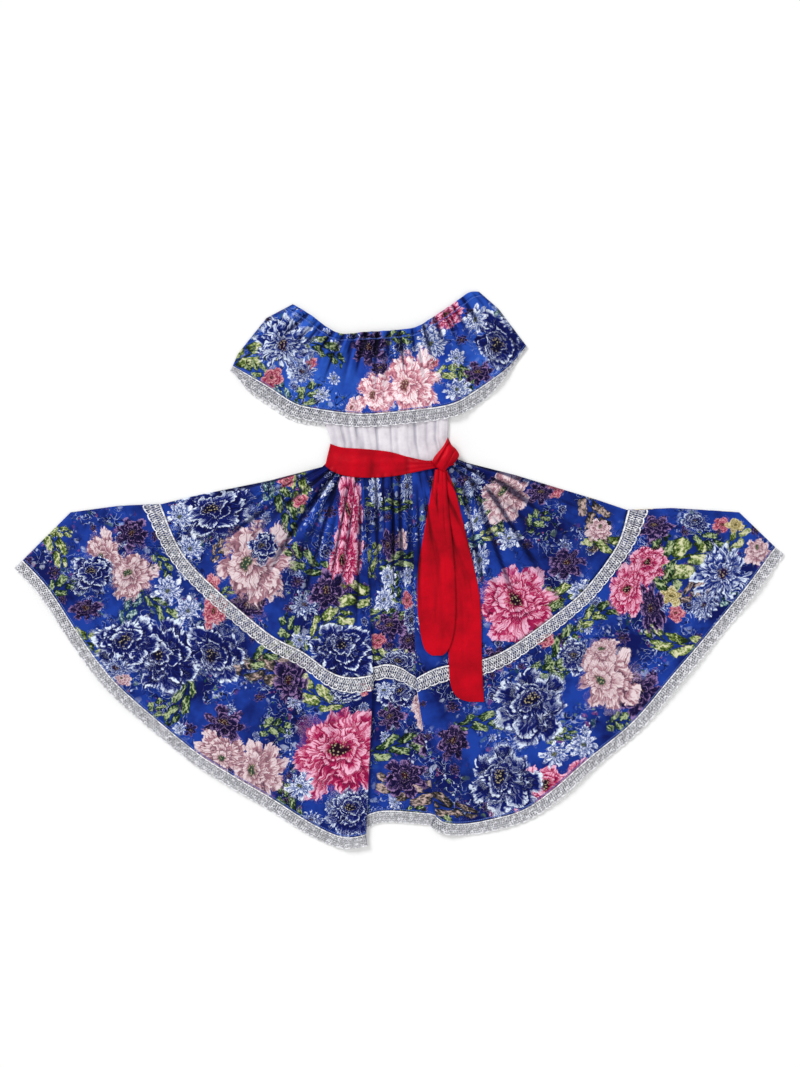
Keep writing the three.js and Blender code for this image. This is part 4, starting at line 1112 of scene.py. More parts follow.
def bloom_group(ring, reaches):
    """A painted bloom over the cloth's colour: wavy rings of petals and a stippled heart."""
    group, ground, place, look = new_motif("bloom")
    seed = node(group, SPLIT, [place]).node.outputs["Z"]
    wavy = rippled(group, place, 2.1, 3.0, 0.62, 0.6)
    flat = node(group, VECTOR_TIMES, [wavy, (1, 1, 0)])
    radius = node(group, LENGTH, [flat])
    rim = kind_numbers(group, look["X"], BLOOM_RIM)
    lean = kind_numbers(group, look["X"], BLOOM_LEAN)
    below = {}
    for i, reach in enumerate(reaches):
        painted = node(group, GROUP, {
            "Place": flat,
            "Lean": node(group, TIMES, [lean, 1.6 * reach - 0.6]),
            "Seed": node(group, TIMES_PLUS, [seed, 1.7, 5.3 * i]),
            "Petals": node(group, MINUS, [look["Y"], float(i)]),
            "Phase": node(group, TIMES_PLUS, [seed, 0.31 + 0.17 * i, 0.4 * i]),
            "Reach": reach,
            "Gap": node(group, TIMES, [look["Z"], 1.0 - 0.1 * i]),
            "Rim": rim,
            **below,
        }, node_tree=ring).node.outputs
        below = {"Tone": painted["Tone"], "Cover": painted["Cover"]}
    shaded = three_tones(group, below["Tone"], look["X"], BLOOM_DEEP, BLOOM_MIDDLE, BLOOM_LIGHT)
    heart = node(group, RANGE, [radius, HEART_REACH * 1.25, HEART_REACH * 0.75])
    hearted = node(group, COLOUR_BLEND, [heart, shaded, kind_colours(group, look["X"], BLOOM_HEART)])
    dots = node(group, CELLS, {"Vector": place, "Scale": 17.0})
    near_heart = node(group, RANGE, [radius, 0.26, 0.1, 0.0, 0.6])
    speck = node(group, RANGE, [dots, 0.38, 0.28])
    stamen = node(group, TIMES, [speck, near_heart])
    finished = node(group, COLOUR_BLEND, [stamen, hearted, linear(STAMEN_COLOUR)])
    over = node(group, COLOUR_BLEND, [below["Cover"], ground, finished])
    node(group, RESULT, [over])
    return group


LEAF_DEEP = ["#0d1d1a", "#26361c", "#1a1e22", "#102838"]
LEAF_MIDDLE = ["#385a34", "#7a8f4a", "#665c58", "#44707a"]
LEAF_LIGHT = ["#b9c49c", "#dcdab8", "#c8b2ac", "#c4d6d4"]


def leaf_group():
    """A painted spray of slanted leaflets with midribs along a bent stem."""
    group, ground, place, look = new_motif("leaf spray")
    wavy = rippled(group, place, 2.6, 2.0, 0.5, 0.4)
    own = node(group, SPLIT, [wavy]).node.outputs
    squared = node(group, TIMES, [own["X"], own["X"]])
    bent = node(group, TIMES_PLUS, [squared, 0.4, own["Y"]])
    across = node(group, MINUS, [bent, 0.1])
    away = node(group, UNSIGNED, [across])
    side = node(group, ABOVE, [across, 0.0])
    slanted = node(group, TIMES_PLUS, [away, -0.55, own["X"]])
    counted = node(group, TIMES, [slanted, look["Y"]])
    halved = node(group, TIMES, [counted, 0.5])
    shifted = node(group, TIMES_PLUS, [side, 0.5, halved])
    cell = node(group, WHOLE, [shifted])
    part = node(group, FRACTION, [shifted])
    offset = node(group, MINUS, [part, 0.5])
    aside = node(group, TIMES, [node(group, UNSIGNED, [offset]), 2.0])
    leaflet_seed = node(group, JOIN, [cell, side, own["Z"]])
    chance = node(group, CHANCE, [leaflet_seed])
    length = node(group, TIMES_PLUS, [chance, 0.35, 0.6])
    narrowing = node(group, TIMES_PLUS, [squared, -0.35, length])
    safe_length = node(group, LARGER, [narrowing, 0.05])
    along = node(group, DIVIDED, [away, safe_length], use_clamp=True)
    rest = node(group, MINUS, [1.0, along])
    bulge = node(group, TIMES, [along, rest])
    width = node(group, TIMES_PLUS, [bulge, 3.9, 0.02])
    inner = node(group, MINUS, [width, aside])
    leaf = node(group, RANGE, [inner, 0.0, 0.1])
    ends = node(group, UNSIGNED, [own["X"]])
    within = node(group, RANGE, [ends, 1.02, 0.96])
    stem = node(group, RANGE, [away, 0.05, 0.03])
    drawn = node(group, LARGER, [leaf, stem])
    cover = node(group, TIMES, [drawn, within])
    fleck = node(group, NOISE, {"Vector": place, "Scale": 9.0, "Detail": 2.0, "Roughness": 0.7})
    rib = node(group, RANGE, [aside, 0.16, 0.04, 0.0, 0.5])
    half_shade = node(group, TIMES_PLUS, [offset, 0.5, rib])
    shade = node(group, TIMES_PLUS, [chance, 0.55, half_shade])
    flecked = node(group, TIMES_PLUS, [fleck, 3.0, shade])
    outline = node(group, RANGE, [inner, 0.0, 0.3, -1.95, -1.3])
    tone = node(group, PLUS, [flecked, outline])
    shaded = three_tones(group, tone, look["X"], LEAF_DEEP, LEAF_MIDDLE, LEAF_LIGHT)
    over = node(group, COLOUR_BLEND, [cover, ground, shaded])
    node(group, RESULT, [over])
    return group


SHEEN_ROUGHNESS = 0.5
SURFACE_GLOSS = 0.08
# The colour that painted shade leans to in the bottom of the folds
PAINTED_SHADE_TINT = "#4e5478"


def new_material(name, roughness, sheen):
    """A cloth: its shader's fixed numbers sit on the shader itself."""
    material = bpy.data.materials.new(name)
    material.use_nodes = True
    shader = material.node_tree.nodes["Principled BSDF"].inputs
    shader["Roughness"].default_value = roughness
    shader["Sheen Weight"].default_value = sheen
    shader["Sheen Roughness"].default_value = SHEEN_ROUGHNESS
    shader["Specular IOR Level"].default_value = SURFACE_GLOSS
    return material, material.node_tree, shader


def paint_valley_shade(tree, shader, colour, strength):
    """Paints shade into the cloth's colour: darker and bluer in the bottom of its folds."""
    valley = node(tree, ATTRIBUTE, attribute_name="valley").node.outputs["Fac"]
    depth = node(tree, TIMES, [valley, strength])
    dark = node(tree, COLOUR_TIMES, [1.0, colour, linear(PAINTED_SHADE_TINT)])
    shaded = node(tree, COLOUR_BLEND, [depth, colour, dark])
    tree.links.new(shaded, shader["Base Color"])


def woven_bump(tree, shader, place, thread, strength):
    """Warp and weft as two crossed ripples; thread is their spacing in metres."""
    ripples = []
    for direction in ("X", "Y"):
        ripple = node(tree, WAVE, {
            "Vector": place, "Scale": math.pi / 10 / thread, "Distortion": 0.6, "Detail": 1.0,
        }, bands_direction=direction)
        ripples.append(ripple.node.outputs["Fac"])
    crossed = node(tree, LARGER, ripples)
    rumple = node(tree, NOISE, {"Vector": place, "Scale": 45.0, "Detail": 3.0})
    height = node(tree, TIMES_PLUS, [rumple, 2.0, crossed])
    bump = node(tree, BUMP, {"Height": height, "Strength": strength, "Distance": 0.0006})
    tree.links.new(bump, shader["Normal"])


def clouded(tree, place, scale, roughness, spread, dark, pale):
    """Two colours mixed in soft clouds; spread is how far the noise swings between them."""
    clouds = node(tree, NOISE, {"Vector": place, "Scale": scale, "Detail": 4.0, "Roughness": roughness})
    depth = node(tree, RANGE, [clouds, 0.5 - spread, 0.5 + spread])
    return node(tree, COLOUR_BLEND, [depth, linear(dark), linear(pale)])


# How far the inks soak in: above 1 the middle tones of the print deepen and the whites stay
INK_DEPTH = 1.17
DAB_COLOURS = ["#0b1046", "#c2cfec", "#345f36", "#0c1658", "#a8577c", "#86a04e", "#0d1450", "#dfe6f6"]
# Sizes of brush dabs as scale, width, the density at which they begin and strength, then of thin
# wandering brush lines as scale, width, the density at which they begin and colour
DABS = [(46.0, 0.26, 0.46, 0.45), (88.0, 0.19, 0.48, 0.8)]
BRUSH_LINES = [(40.0, 0.022, 0.46, "#0a0f42"), (52.0, 0.010, 0.49, "#c3cfee")]


def dabbed(tree, place, dense, ground):
    """The ground with short brush dabs on it, each bent by its neighbourhood."""
    for scale, width, low, strength in DABS:
        moved = rippled(tree, place, scale * 0.7, 2.0, 0.5, 1.6 / scale)
        dabs = node(tree, CELLS, {"Vector": moved, "Scale": scale, "Randomness": 1.0})
        cover = node(tree, RANGE, [dabs, width + 0.1, width])
        pick = node(tree, SPLIT, [dabs.node.outputs["Color"]])
        busy = node(tree, RANGE, [dense, low, low + 0.08, 0.0, strength])
        shown = node(tree, TIMES, [cover, busy])
        ground = node(tree, COLOUR_BLEND, [shown, ground, kind_colours(tree, pick, DAB_COLOURS)])
    return ground


def lined(tree, place, dense, ground):
    """The ground with thin brush lines that wander over it."""
    for scale, width, low, colour in BRUSH_LINES:
        wander = node(tree, NOISE, {"Vector": place, "Scale": scale, "Detail": 1.5, "Distortion": 0.6})
        line = node(tree, RANGE, [from_half(tree, wander), width, width * 0.4, 0.0, 0.85])
        busy = node(tree, RANGE, [dense, low, low + 0.06])
        shown = node(tree, TIMES, [line, busy])
        ground = node(tree, COLOUR_BLEND, [shown, ground, linear(colour)])
    return ground


def printed_cotton(name, deep, bright):
    """Screen-printed cotton lawn: a dull royal blue with painted blooms; its weave only just shows."""
    material, tree, shader = new_material(name, 0.66, 0.0)
    place = node(tree, COORDINATE).node.outputs["Object"]
    ground = clouded(tree, place, 6.0, 0.65, 0.1, deep, bright)
    dense = node(tree, NOISE, {"Vector": place, "Scale": 9.0, "Detail": 2.0})
    ground = lined(tree, place, dense, dabbed(tree, place, dense, ground))
    for layer, motif in MOTIFS.items():
        where = node(tree, ATTRIBUTE, attribute_name=f"{layer}_place").node.outputs["Vector"]
        look = node(tree, ATTRIBUTE, attribute_name=f"{layer}_look").node.outputs["Vector"]
        ground = node(tree, GROUP, {"Ground": ground, "Place": where, "Look": look}, node_tree=motif)
    soaked = node(tree, GAMMA, [ground, INK_DEPTH])
    # Shade painted into the bottom of the folds, deepest where the valley attribute is full
    paint_valley_shade(tree, shader, soaked, 0.93)
    woven_bump(tree, shader, place, 0.0012, 0.25)
    return material


def plain_cloth(name, pale, dark, scale, roughness, sheen, thread, strength):
    """A cloth of one dye, a little lighter and darker from place to place, with shade painted in its folds.
    """
    material, tree, shader = new_material(name, roughness, sheen)
    place = node(tree, COORDINATE).node.outputs["Object"]
    colour = clouded(tree, place, scale, 0.6, 0.15, dark, pale)
    paint_valley_shade(tree, shader, colour, 0.75)
    woven_bump(tree, shader, place, thread, strength)
    return material


def lace_thread():
    """Mercerised cotton lace: thick cool white threads over a thin net whose grey is partly painted shade,
    with a light gloss.
    """
    material, tree, shader = new_material("mercerised_lace_thread", 0.5, 0.05)
    place = node(tree, COORDINATE).node.outputs["Object"]
    raised = node(tree, ATTRIBUTE, attribute_name="raised").node.outputs["Fac"]
    # The net's dark grey is partly its own greyer thread and partly painted shade of the openwork
    colour = node(tree, COLOUR_BLEND, [raised, linear("#5e627b"), linear("#f7f7fc")])
    twist = node(tree, NOISE, {"Vector": place, "Scale": 170.0, "Detail": 1.5})
    shade = node(tree, RANGE, [twist, 0.42, 0.56, 0.54])
    dyed = node(tree, COLOUR_TIMES, [1.0, colour, shade])
    tree.links.new(dyed, shader["Base Color"])
    woven_bump(tree, shader, place, 0.0006, 0.3)
    return material


# What each layer of the print is drawn with, from the lowest layer up
PETAL_RING = petal_ring_group()
LARGE_BLOOM = bloom_group(PETAL_RING, RING_REACH)
MOTIFS = {
    "filler": bloom_group(PETAL_RING, FILLER_REACH),
    **dict.fromkeys(LEAF_NAMES, leaf_group()),
    **dict.fromkeys(BLOOM_NAMES, LARGE_BLOOM),
}
PRINTED = printed_cotton("printed_cotton_lawn", "#0e1c62", "#264ba6")
# The ruffle is of the same lawn, drawn with a lighter blue ground
PRINTED_LIGHTER = printed_cotton("printed_cotton_lawn_lighter", "#2245a4", "#3866c2")
# Bleached cotton: matt, a cool white in faint grey clouds
WHITE = plain_cloth("white_cotton", "#e6e1e7", "#cfc9d2", 30.0, 0.7, 0.1, 0.0012, 0.2)
# Cotton sateen: deep crimson with a soft broad gloss along its folds
RED = plain_cloth("crimson_cotton_sateen", "#c4001a", "#9c0014", 14.0, 0.45, 0.0, 0.001, 0.15)
LACE = lace_thread()
# Polyester sewing thread in blue
THREAD = plain_cloth("blue_sewing_thread", "#5f78c6", "#38509e", 200.0, 0.5, 0.1, 0.0006, 0.3)


# Lace and stitches: a small tile, repeated by a node tree and laid along a band of cloth

TILE_LENGTH = 24.0
THREAD_HEIGHT = 0.35
NET_THREAD = 0.7
# Ribbons of thick white thread in one tile: points as (millimetres along, share across), width, lift
LACE_PATTERN = [
    ([(0, 0.05), (8, 0.05), (16, 0.05), (24, 0.05)], 3.0, 0.2),
    ([(0, 0.14), (6, 0.46), (12, 0.14), (18, 0.46), (24, 0.14)], 2.0, 0.3),
    ([(0, 0.46), (6, 0.14), (12, 0.46), (18, 0.14), (24, 0.46)], 2.0, 0.15),
    ([(0, 0.50), (6, 0.82), (12, 0.50), (18, 0.82), (24, 0.50)], 2.0, 0.3),
    ([(0, 0.82), (6, 0.50), (12, 0.82), (18, 0.50), (24, 0.82)], 2.0, 0.15),
    ([(0, 0.86), (4, 0.93), (12, 0.96), (20, 0.93), (24, 0.86)], 2.2, 0.2),
    ([(4.6, 0.30), (7.4, 0.30)], 2.6, 0.35),
    ([(16.6, 0.66), (19.4, 0.66)], 2.6, 0.35),
    ([(10.8, 0.88), (13.2, 0.88)], 2.2, 0.35),
]
# The thin grey net behind it: upright and level threads
UPRIGHT_PLACES = (1.5, 4.5, 7.5, 10.5, 13.5, 16.5, 19.5, 22.5)
LEVEL_PLACES = (0.14, 0.27, 0.40, 0.53, 0.66, 0.79)
NET_UPRIGHTS = [([(x, 0.04), (x, 0.36), (x, 0.66), (x, 0.95)], NET_THREAD, -0.1) for x in UPRIGHT_PLACES]
NET_LEVELS = [([(0, share), (12, share), (24, share)], NET_THREAD, -0.15) for share in LEVEL_PLACES]
LACE_NET = NET_UPRIGHTS + NET_LEVELS
# The hidden back has fewer threads, and this gap below them
BACK_PATTERN = LACE_PATTERN[:6]
BACK_NET = NET_UPRIGHTS[::4] + NET_LEVELS[::3]
BACK_LACE_CLEARANCE = 0.2
# A stitch dips into the cloth at both ends; its heights are at its four points
STITCH_LENGTH = 3.2
STITCH_PITCH = 4.6
STITCH_WIDTH = 0.7
STITCH_THICKNESS_SHARE = 0.8
STITCH_HEIGHTS = [-0.35, 0.1, 0.1, -0.35]
STITCH_LIFT = CLOTH_SHOWN / 2 + 0.3


def ribbon_tile(ribbons, width):
    """Flat threads with four sides each, closed at their ends."""
    points, faces = [], []
    for path, thread, lift in ribbons:
        line = np.array([(x, share * width) for x, share in path])
        ahead = np.gradient(line, axis=0)
        if tuple(path[0]) == tuple(path[-1]):
            ahead[0] = ahead[-1] = line[1] - line[-2]
        ahead /= np.linalg.norm(ahead, axis=1)[:, None]
        aside = np.stack([-ahead[:, 1], ahead[:, 0]], 1) * thread / 2
        start = len(points)
        for point, reach in zip(line, aside):
            for side, height in ((1, 0.5), (-1, 0.5), (-1, -0.5), (1, -0.5)):
                points.append((*(point + side * reach), lift + height * THREAD_HEIGHT))
        for i in range(len(line) - 1):
            here = start + 4 * i
            for k in range(4):
                after = (k + 1) % 4
                faces.append((here + k, here + after, here + 4 + after, here + 4 + k))
        end = start + 4 * (len(line) - 1)
        faces.append((start + 3, start + 2, start + 1, start))
        faces.append((end, end + 1, end + 2, end + 3))
    return points, faces


def repeat_tree(material):
    """A node tree that sets a tile again and again along X, and gives it its material."""
    tree, given = new_group("repeat_along", {"Tile": "Geometry", "Count": "Int", "Pitch": "Float"},
                            {"Repeated": "Geometry"}, "GeometryNodeTree")
    step = node(tree, JOIN, {"X": given["Pitch"]})
    line = node(tree, POINT_ROW, {"Count": given["Count"], "Offset": step})
    tiles = node(tree, TILE_AT_POINTS, {"Points": line, "Instance": given["Tile"]})
    real = node(tree, REAL_TILES, {"Geometry": tiles})
    finished = node(tree, OF_MATERIAL, {"Geometry": real, "Material": material})
    node(tree, RESULT, [finished])
    return tree, {socket.name: socket.identifier for socket in tree.interface.items_tree}


def lace_tile(pattern, net, width):
    """A tile of lace: its thick threads, then its net, and how many points are the pattern's."""
    points, faces = ribbon_tile(pattern, width)
    net_points, net_faces = ribbon_tile(net, width)
    moved = [tuple(number + len(points) for number in face) for face in net_faces]
    return points + net_points, faces + moved, len(points)


def repeated(tile, count, pitch, material):
    """The tile's points and faces, repeated, as a plain mesh that knows its thick threads."""
    points, faces, thick = tile
    mesh = bpy.data.meshes.new("tile")
    mesh.from_pydata(points, [], faces)
    raised = mesh.attributes.new("raised", "FLOAT", "POINT")
    raised.data.foreach_set("value", [1.0] * thick + [0.0] * (len(points) - thick))
    strip = in_scene("tile", mesh)
    tree, identifiers = repeat_tree(material)
    modifier = strip.modifiers.new("repeat", "NODES")
    modifier.node_group = tree
    modifier[identifiers["Count"]] = count
    modifier[identifiers["Pitch"]] = pitch
    evaluated = strip.evaluated_get(bpy.context.evaluated_depsgraph_get())
    result = bpy.data.meshes.new_from_object(evaluated)
    strip.modifiers.remove(modifier)
    bpy.data.objects.remove(strip)
    return result


def lay_along(name, mesh, length, width, band):
    """Moves a strip from the X axis onto a band: a grid whose rows run along and columns across."""
    flat = np.empty(len(mesh.vertices) * 3, np.float32)
    mesh.vertices.foreach_get("co", flat)
    flat = flat.reshape(-1, 3).astype(float)
    normals = grid_normals(band)
    travelled = travelled_along(band[len(band) // 2])
    at = np.clip(flat[:, 0] / length, 0, 1) * travelled[-1]
    down = np.clip(flat[:, 1] / width, 0, 1) * (len(band) - 1)
    row = np.minimum(down.astype(int), len(band) - 2)
    share = (down - row)[:, None]
    found = []
    for surface in (band, normals):
        along = np.stack([np.stack([np.interp(at, travelled, line[:, k]) for k in range(3)], 1)
                          for line in surface])
        each = np.arange(len(flat))
        found.append(along[row, each] * (1 - share) + along[row + 1, each] * share)
    points = placed(found[0] + found[1] * flat[:, 2:])
    mesh.vertices.foreach_set("co", points.astype(np.float32).ravel())
    mesh.update()
    mesh.name = name
    return dress_piece(name, mesh)


def band_length(band):
    """Length of a band along its middle row."""
    return float(travelled_along(band[len(band) // 2])[-1])


def lace_band(name, band, width, pattern=LACE_PATTERN, net=LACE_NET):
    """Openwork lace over a band, in place of the plain solid strip."""
    length = band_length(band)
    count = round(length / TILE_LENGTH)
    strip = repeated(lace_tile(pattern, net, width), count, TILE_LENGTH, LACE)
    piece = lay_along(f"{name}_openwork", strip, count * TILE_LENGTH, width, band)
    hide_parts(name)
    bpy.context.view_layer.update()


def stitch_row(name, band):
    """A row of sewing stitches along the middle of a narrow band."""
    length = band_length(band)
    count = int(length / STITCH_PITCH)
    bow = [(0, 0.5), (0.25 * STITCH_LENGTH, 0.5), (0.75 * STITCH_LENGTH, 0.5), (STITCH_LENGTH, 0.5)]
    points, faces = ribbon_tile([(bow, STITCH_WIDTH, 0.0)], 1.0)
    points = [(x, y, z * STITCH_THICKNESS_SHARE + STITCH_HEIGHTS[i // 4])
              for i, (x, y, z) in enumerate(points)]
    strip = repeated((points, faces, 0), count, STITCH_PITCH, THREAD)
    return lay_along(name, strip, count * STITCH_PITCH, 1.0, band)


def band_between(grid, first, last, lift):
    """Rows of a cloth between two shares of it, raised along its normals."""
    raised = grid + grid_normals(grid) * lift
    rows = np.linspace(first, last, LACE_ROWS) * (len(grid) - 1)
    low = np.minimum(rows.astype(int), len(grid) - 2)
    share = (rows - low)[:, None, None]
    return raised[low] * (1 - share) + raised[low + 1] * share


# The pieces

# Cloths as thickness, material, slot and how they are held
LAWN = (CLOTH_SHOWN, PRINTED, "printed_cotton", "gathered")
LIGHTER_LAWN = (CLOTH_SHOWN, PRINTED_LIGHTER, "printed_cotton", "gathered")
BODICE_COTTON = (CLOTH_SHOWN, WHITE, "white_cotton", "laid")
SATEEN = (SASH_SHOWN, RED, "red_satin", "laid")


def add_sheet(name, grid, cloth):
    """A shell that stands for its CAD node, which it hides."""
    thickness, material, slot, held = cloth
    piece, faces = shell(f"{name}_cloth", grid, thickness, material)
    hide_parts(name)
    return piece, faces


def add_skirt_front():
    """Both tiers with their tucks, the lace over their seam and at the hem, and the hem's stitches."""
    hem_edge = {run: moved_out(HEM[run], HEM_LACE_WIDTH) for run in HEM}
    upper_place = front_place(WAIST, TIER_SEAM, UPPER_LEFT_EDGE, UPPER_RIGHT_EDGE)
    lower_place = front_place(TIER_SEAM, HEM, LOWER_LEFT_EDGE, LOWER_RIGHT_EDGE)
    beyond_place = front_place(HEM, hem_edge)
    v = np.linspace(0, 1 - TIER_SEAM_GAP, UPPER_ROWS)
    upper, run = tucked_grid(upper_place, v, v)
    piece, faces = add_sheet("upper_tier_front", upper, LAWN)
    print_front(piece, faces, upper, run, UPPER_BLOOMS, UPPER_LEAVES)
    v = np.linspace(TIER_SEAM_GAP, 1 - TIER_SEAM_GAP, LOWER_ROWS)
    lower, run = tucked_grid(lower_place, v, 1 + v)
    piece, faces = add_sheet("lower_tier_front", lower, LAWN)
    print_front(piece, faces, lower, run, LOWER_BLOOMS, LOWER_LEAVES)
    below_lace = band_between(lower, 0, LACE_SHARE, TIER_LACE_LIFT)
    lace_band("tier_lace_front", below_lace, HEM_LACE_WIDTH)
    v = np.linspace(LACE_GAP, 1, HEM_LACE_ROWS)
    beyond = tucked_grid(beyond_place, v, np.full(HEM_LACE_ROWS, 2.0))[0]
    lace_band("hem_lace_front", beyond, HEM_LACE_WIDTH)
    stitch_row("hem_stitches", band_between(lower, *HEM_STITCHES, STITCH_LIFT))


def back_lace_height(t, v, plan):
    """The back's lace lies just clear of the floor."""
    return LACE_WALL / 2 + BACK_LACE_CLEARANCE


def add_skirt_back():
    """The same tiers and lace without tucks, flat on the floor."""
    centre = np.array(WAIST_CENTRE, float)
    waist = curve(back_line(WAIST))
    seam = curve(back_line(TIER_SEAM))
    hem = curve(back_line(HEM))
    outer = curve(moved_out(back_line(HEM), HEM_LACE_WIDTH))
    reach = 2 * SKIRT_EDGE_REACH
    upper_place = drawn_in(patch(waist, seam, UPPER_LEFT_EDGE, UPPER_RIGHT_EDGE, reach), centre)
    lower_place = drawn_in(patch(seam, hem, LOWER_LEFT_EDGE, LOWER_RIGHT_EDGE, reach), centre)
    beyond_place = drawn_in(patch(hem, outer, reach=reach), centre)

    def level(t, share):
        return BACK_LEVEL + lift_at(share) + creased(t, share, BACK_CREASES)

    v = np.linspace(0, 1 - TIER_SEAM_GAP, BACK_ROWS)
    upper = flat_grid(upper_place, v, BACK_COLUMNS, lambda t, v, plan: level(t, v))
    piece, faces = add_sheet("upper_tier_back", upper, LAWN)
    print_back(piece, faces, upper, PRINT_SEEDS["upper_tier_back"])
    v = np.linspace(TIER_SEAM_GAP, 1 - TIER_SEAM_GAP, BACK_ROWS)
    lower = flat_grid(lower_place, v, BACK_COLUMNS, lambda t, v, plan: level(t, 1 + v))
    piece, faces = add_sheet("lower_tier_back", lower, LAWN)
    print_back(piece, faces, lower, PRINT_SEEDS["lower_tier_back"])
    v = np.linspace(0, LACE_SHARE, LACE_ROWS)
    tier = flat_grid(lower_place, v, BACK_COLUMNS, back_lace_height)
    lace_band("tier_lace_back", tier, HEM_LACE_WIDTH, BACK_PATTERN, BACK_NET)
    v = np.linspace(LACE_GAP, 1, LACE_ROWS)
    beyond = flat_grid(beyond_place, v, BACK_COLUMNS, back_lace_height)
    lace_band("hem_lace_back", beyond, HEM_LACE_WIDTH, BACK_PATTERN, BACK_NET)


def add_bodice():
    """White bodice: upright wrinkles and a double seam line in front, flatter at the back."""
    waist = curve(waist_points(WAIST_LEFT, WAIST_RIGHT))
    place = patch(curve(BODICE_TOP), waist, BODICE_LEFT_EDGE, BODICE_RIGHT_EDGE, RUFFLE_EDGE_REACH)
    v = np.linspace(0, 1 - BODICE_GAP, BODICE_ROWS)

    def back_height(t, v, plan):
        return BACK_LEVEL + WAIST_LIFT + BODICE_BACK_RELIEF * creased(t, v, BODICE_CREASES)

    back = flat_grid(place, v, BODICE_BACK_COLUMNS, back_height)
    add_sheet("bodice_back", back, BODICE_COTTON)

    def height(t, v, plan):
        wrinkles = np.maximum(creased(t, v, BODICE_CREASES), BODICE_DEEPEST)
        return resting_height("bodice_front", plan, CLOTH_WALL) + BODICE_RELIEF * wrinkles

    front = flat_grid(place, v, BODICE_COLUMNS, height)
    add_sheet("bodice_front", front, BODICE_COTTON)


def ruffle_lace_place():
    """The lace beyond the ruffle's hem, narrower at its ends, most where it turns under at the right."""
    hem = curve(RUFFLE_HEM)
    outer = curve(moved_out(RUFFLE_HEM, RUFFLE_LACE_WIDTH))

    def place(t, v):
        t, v = np.broadcast_arrays(np.asarray(t, float), np.asarray(v, float))
        taper = (0.45 + 0.55 * smooth(0, 0.08, t)) * (1 - 0.85 * smooth(0.78, 0.96, t))
        share = (v * taper)[..., None]
        return hem(t) * (1 - share) + outer(t) * share
    return place


def add_ruffle_back():
    """Ruffle, casing and lace at the back, which hang a little lower at the left shoulder."""
    centre = np.array(RUFFLE_CENTRE, float)
    whole = patch(curve(NECKLINE), curve(RUFFLE_HEM), RUFFLE_LEFT_EDGE, RUFFLE_RIGHT_EDGE, RUFFLE_EDGE_REACH)

    def sagged(place, drop):
        def moved(t, v):
            t, v = np.broadcast_arrays(np.asarray(t, float), np.asarray(v, float))
            point = drawn_in(place, centre)(t, v)
            sag = drop(v) * BACK_RUFFLE_SAG * smooth(0, 0.12, t) * (1 - smooth(0.25, 0.4, t))
            return point - np.stack([np.zeros_like(sag), sag], -1)
        return moved

    cloth = sagged(whole, lambda v: v * v)
    columns = RUFFLE_BACK_COLUMNS

    def level(t, v, plan):
        return BACK_LEVEL + RUFFLE_BACK_RELIEF * np.abs(creased(t, v, RUFFLE_CREASES))

    casing = flat_grid(cloth, np.linspace(0, CASING_SHARE - CASING_GAP, CASING_BACK_ROWS), columns, level)
    piece, faces = add_sheet("neck_casing_back", casing, LIGHTER_LAWN)
    print_back(piece, faces, casing, PRINT_SEEDS["neck_casing_back"])
    ruffle = flat_grid(cloth, np.linspace(CASING_SHARE, 1 - CASING_GAP / 2, RUFFLE_BACK_ROWS), columns, level)
    piece, faces = add_sheet("ruffle_back", ruffle, LIGHTER_LAWN)
    print_back(piece, faces, ruffle, PRINT_SEEDS["ruffle_back"])
    lace_place = sagged(ruffle_lace_place(), np.ones_like)
    lace = flat_grid(lace_place, np.linspace(LACE_GAP, 1, LACE_ROWS), columns, back_lace_height)
    lace_band("ruffle_lace_back", lace, RUFFLE_LACE_WIDTH, BACK_PATTERN, BACK_NET)


def add_ruffle_front():
    """Ruffle gathered into its neck casing, over the bodice, with its lace and its stitches."""
    place = patch(curve(NECKLINE), curve(RUFFLE_HEM), RUFFLE_LEFT_EDGE, RUFFLE_RIGHT_EDGE, RUFFLE_EDGE_REACH)

    def height(name):
        def at(t, v, plan):
            ends = smooth(0, 0.03, t) * (1 - smooth(0.97, 1, t))
            below = ["bodice_front_cloth", "bodice_back_cloth", "ruffle_back_cloth", "neck_casing_back_cloth"]
            gathered = RUFFLE_RELIEF + RUFFLE_GATHERED * (1 - smooth(0, 0.6, v))
            relief = ends * (gathered * creased(t, v, RUFFLE_CREASES) + RUFFLE_PUFF * (1 - v * v))
            return resting_over(name, plan, CLOTH_WALL, below, relief)
        return at

    casing = flat_grid(place, np.linspace(0, CASING_SHARE - CASING_GAP, CASING_ROWS), RUFFLE_COLUMNS,
                       height("neck_casing_front"))
    piece, faces = add_sheet("neck_casing_front", casing, LIGHTER_LAWN)
    run = np.zeros(RUFFLE_COLUMNS + 1, int)
    print_front(piece, faces, casing, run, RUFFLE_BLOOMS, RUFFLE_LEAVES)
    ruffle = flat_grid(place, np.linspace(CASING_SHARE, 1 - CASING_GAP / 2, RUFFLE_ROWS), RUFFLE_COLUMNS,
                       height("ruffle_front"))
    piece, faces = add_sheet("ruffle_front", ruffle, LIGHTER_LAWN)
    print_front(piece, faces, ruffle, run, RUFFLE_BLOOMS, RUFFLE_LEAVES)
    last = ruffle[-1, :, 2]
    lace = flat_grid(ruffle_lace_place(), np.linspace(LACE_GAP, 1, LACE_ROWS), RUFFLE_COLUMNS,
                     lambda t, v, plan: last[None, :])
    lace_band("ruffle_lace_front", lace, RUFFLE_LACE_WIDTH)
    stitch_row("casing_stitches", band_between(ruffle, *CASING_STITCHES, STITCH_LIFT))
    stitch_row("ruffle_hem_stitches", band_between(ruffle, *RUFFLE_HEM_STITCHES, STITCH_LIFT))


SKIRT_PIECES = ("upper_tier_front_cloth", "lower_tier_front_cloth", "tier_lace_front_openwork")


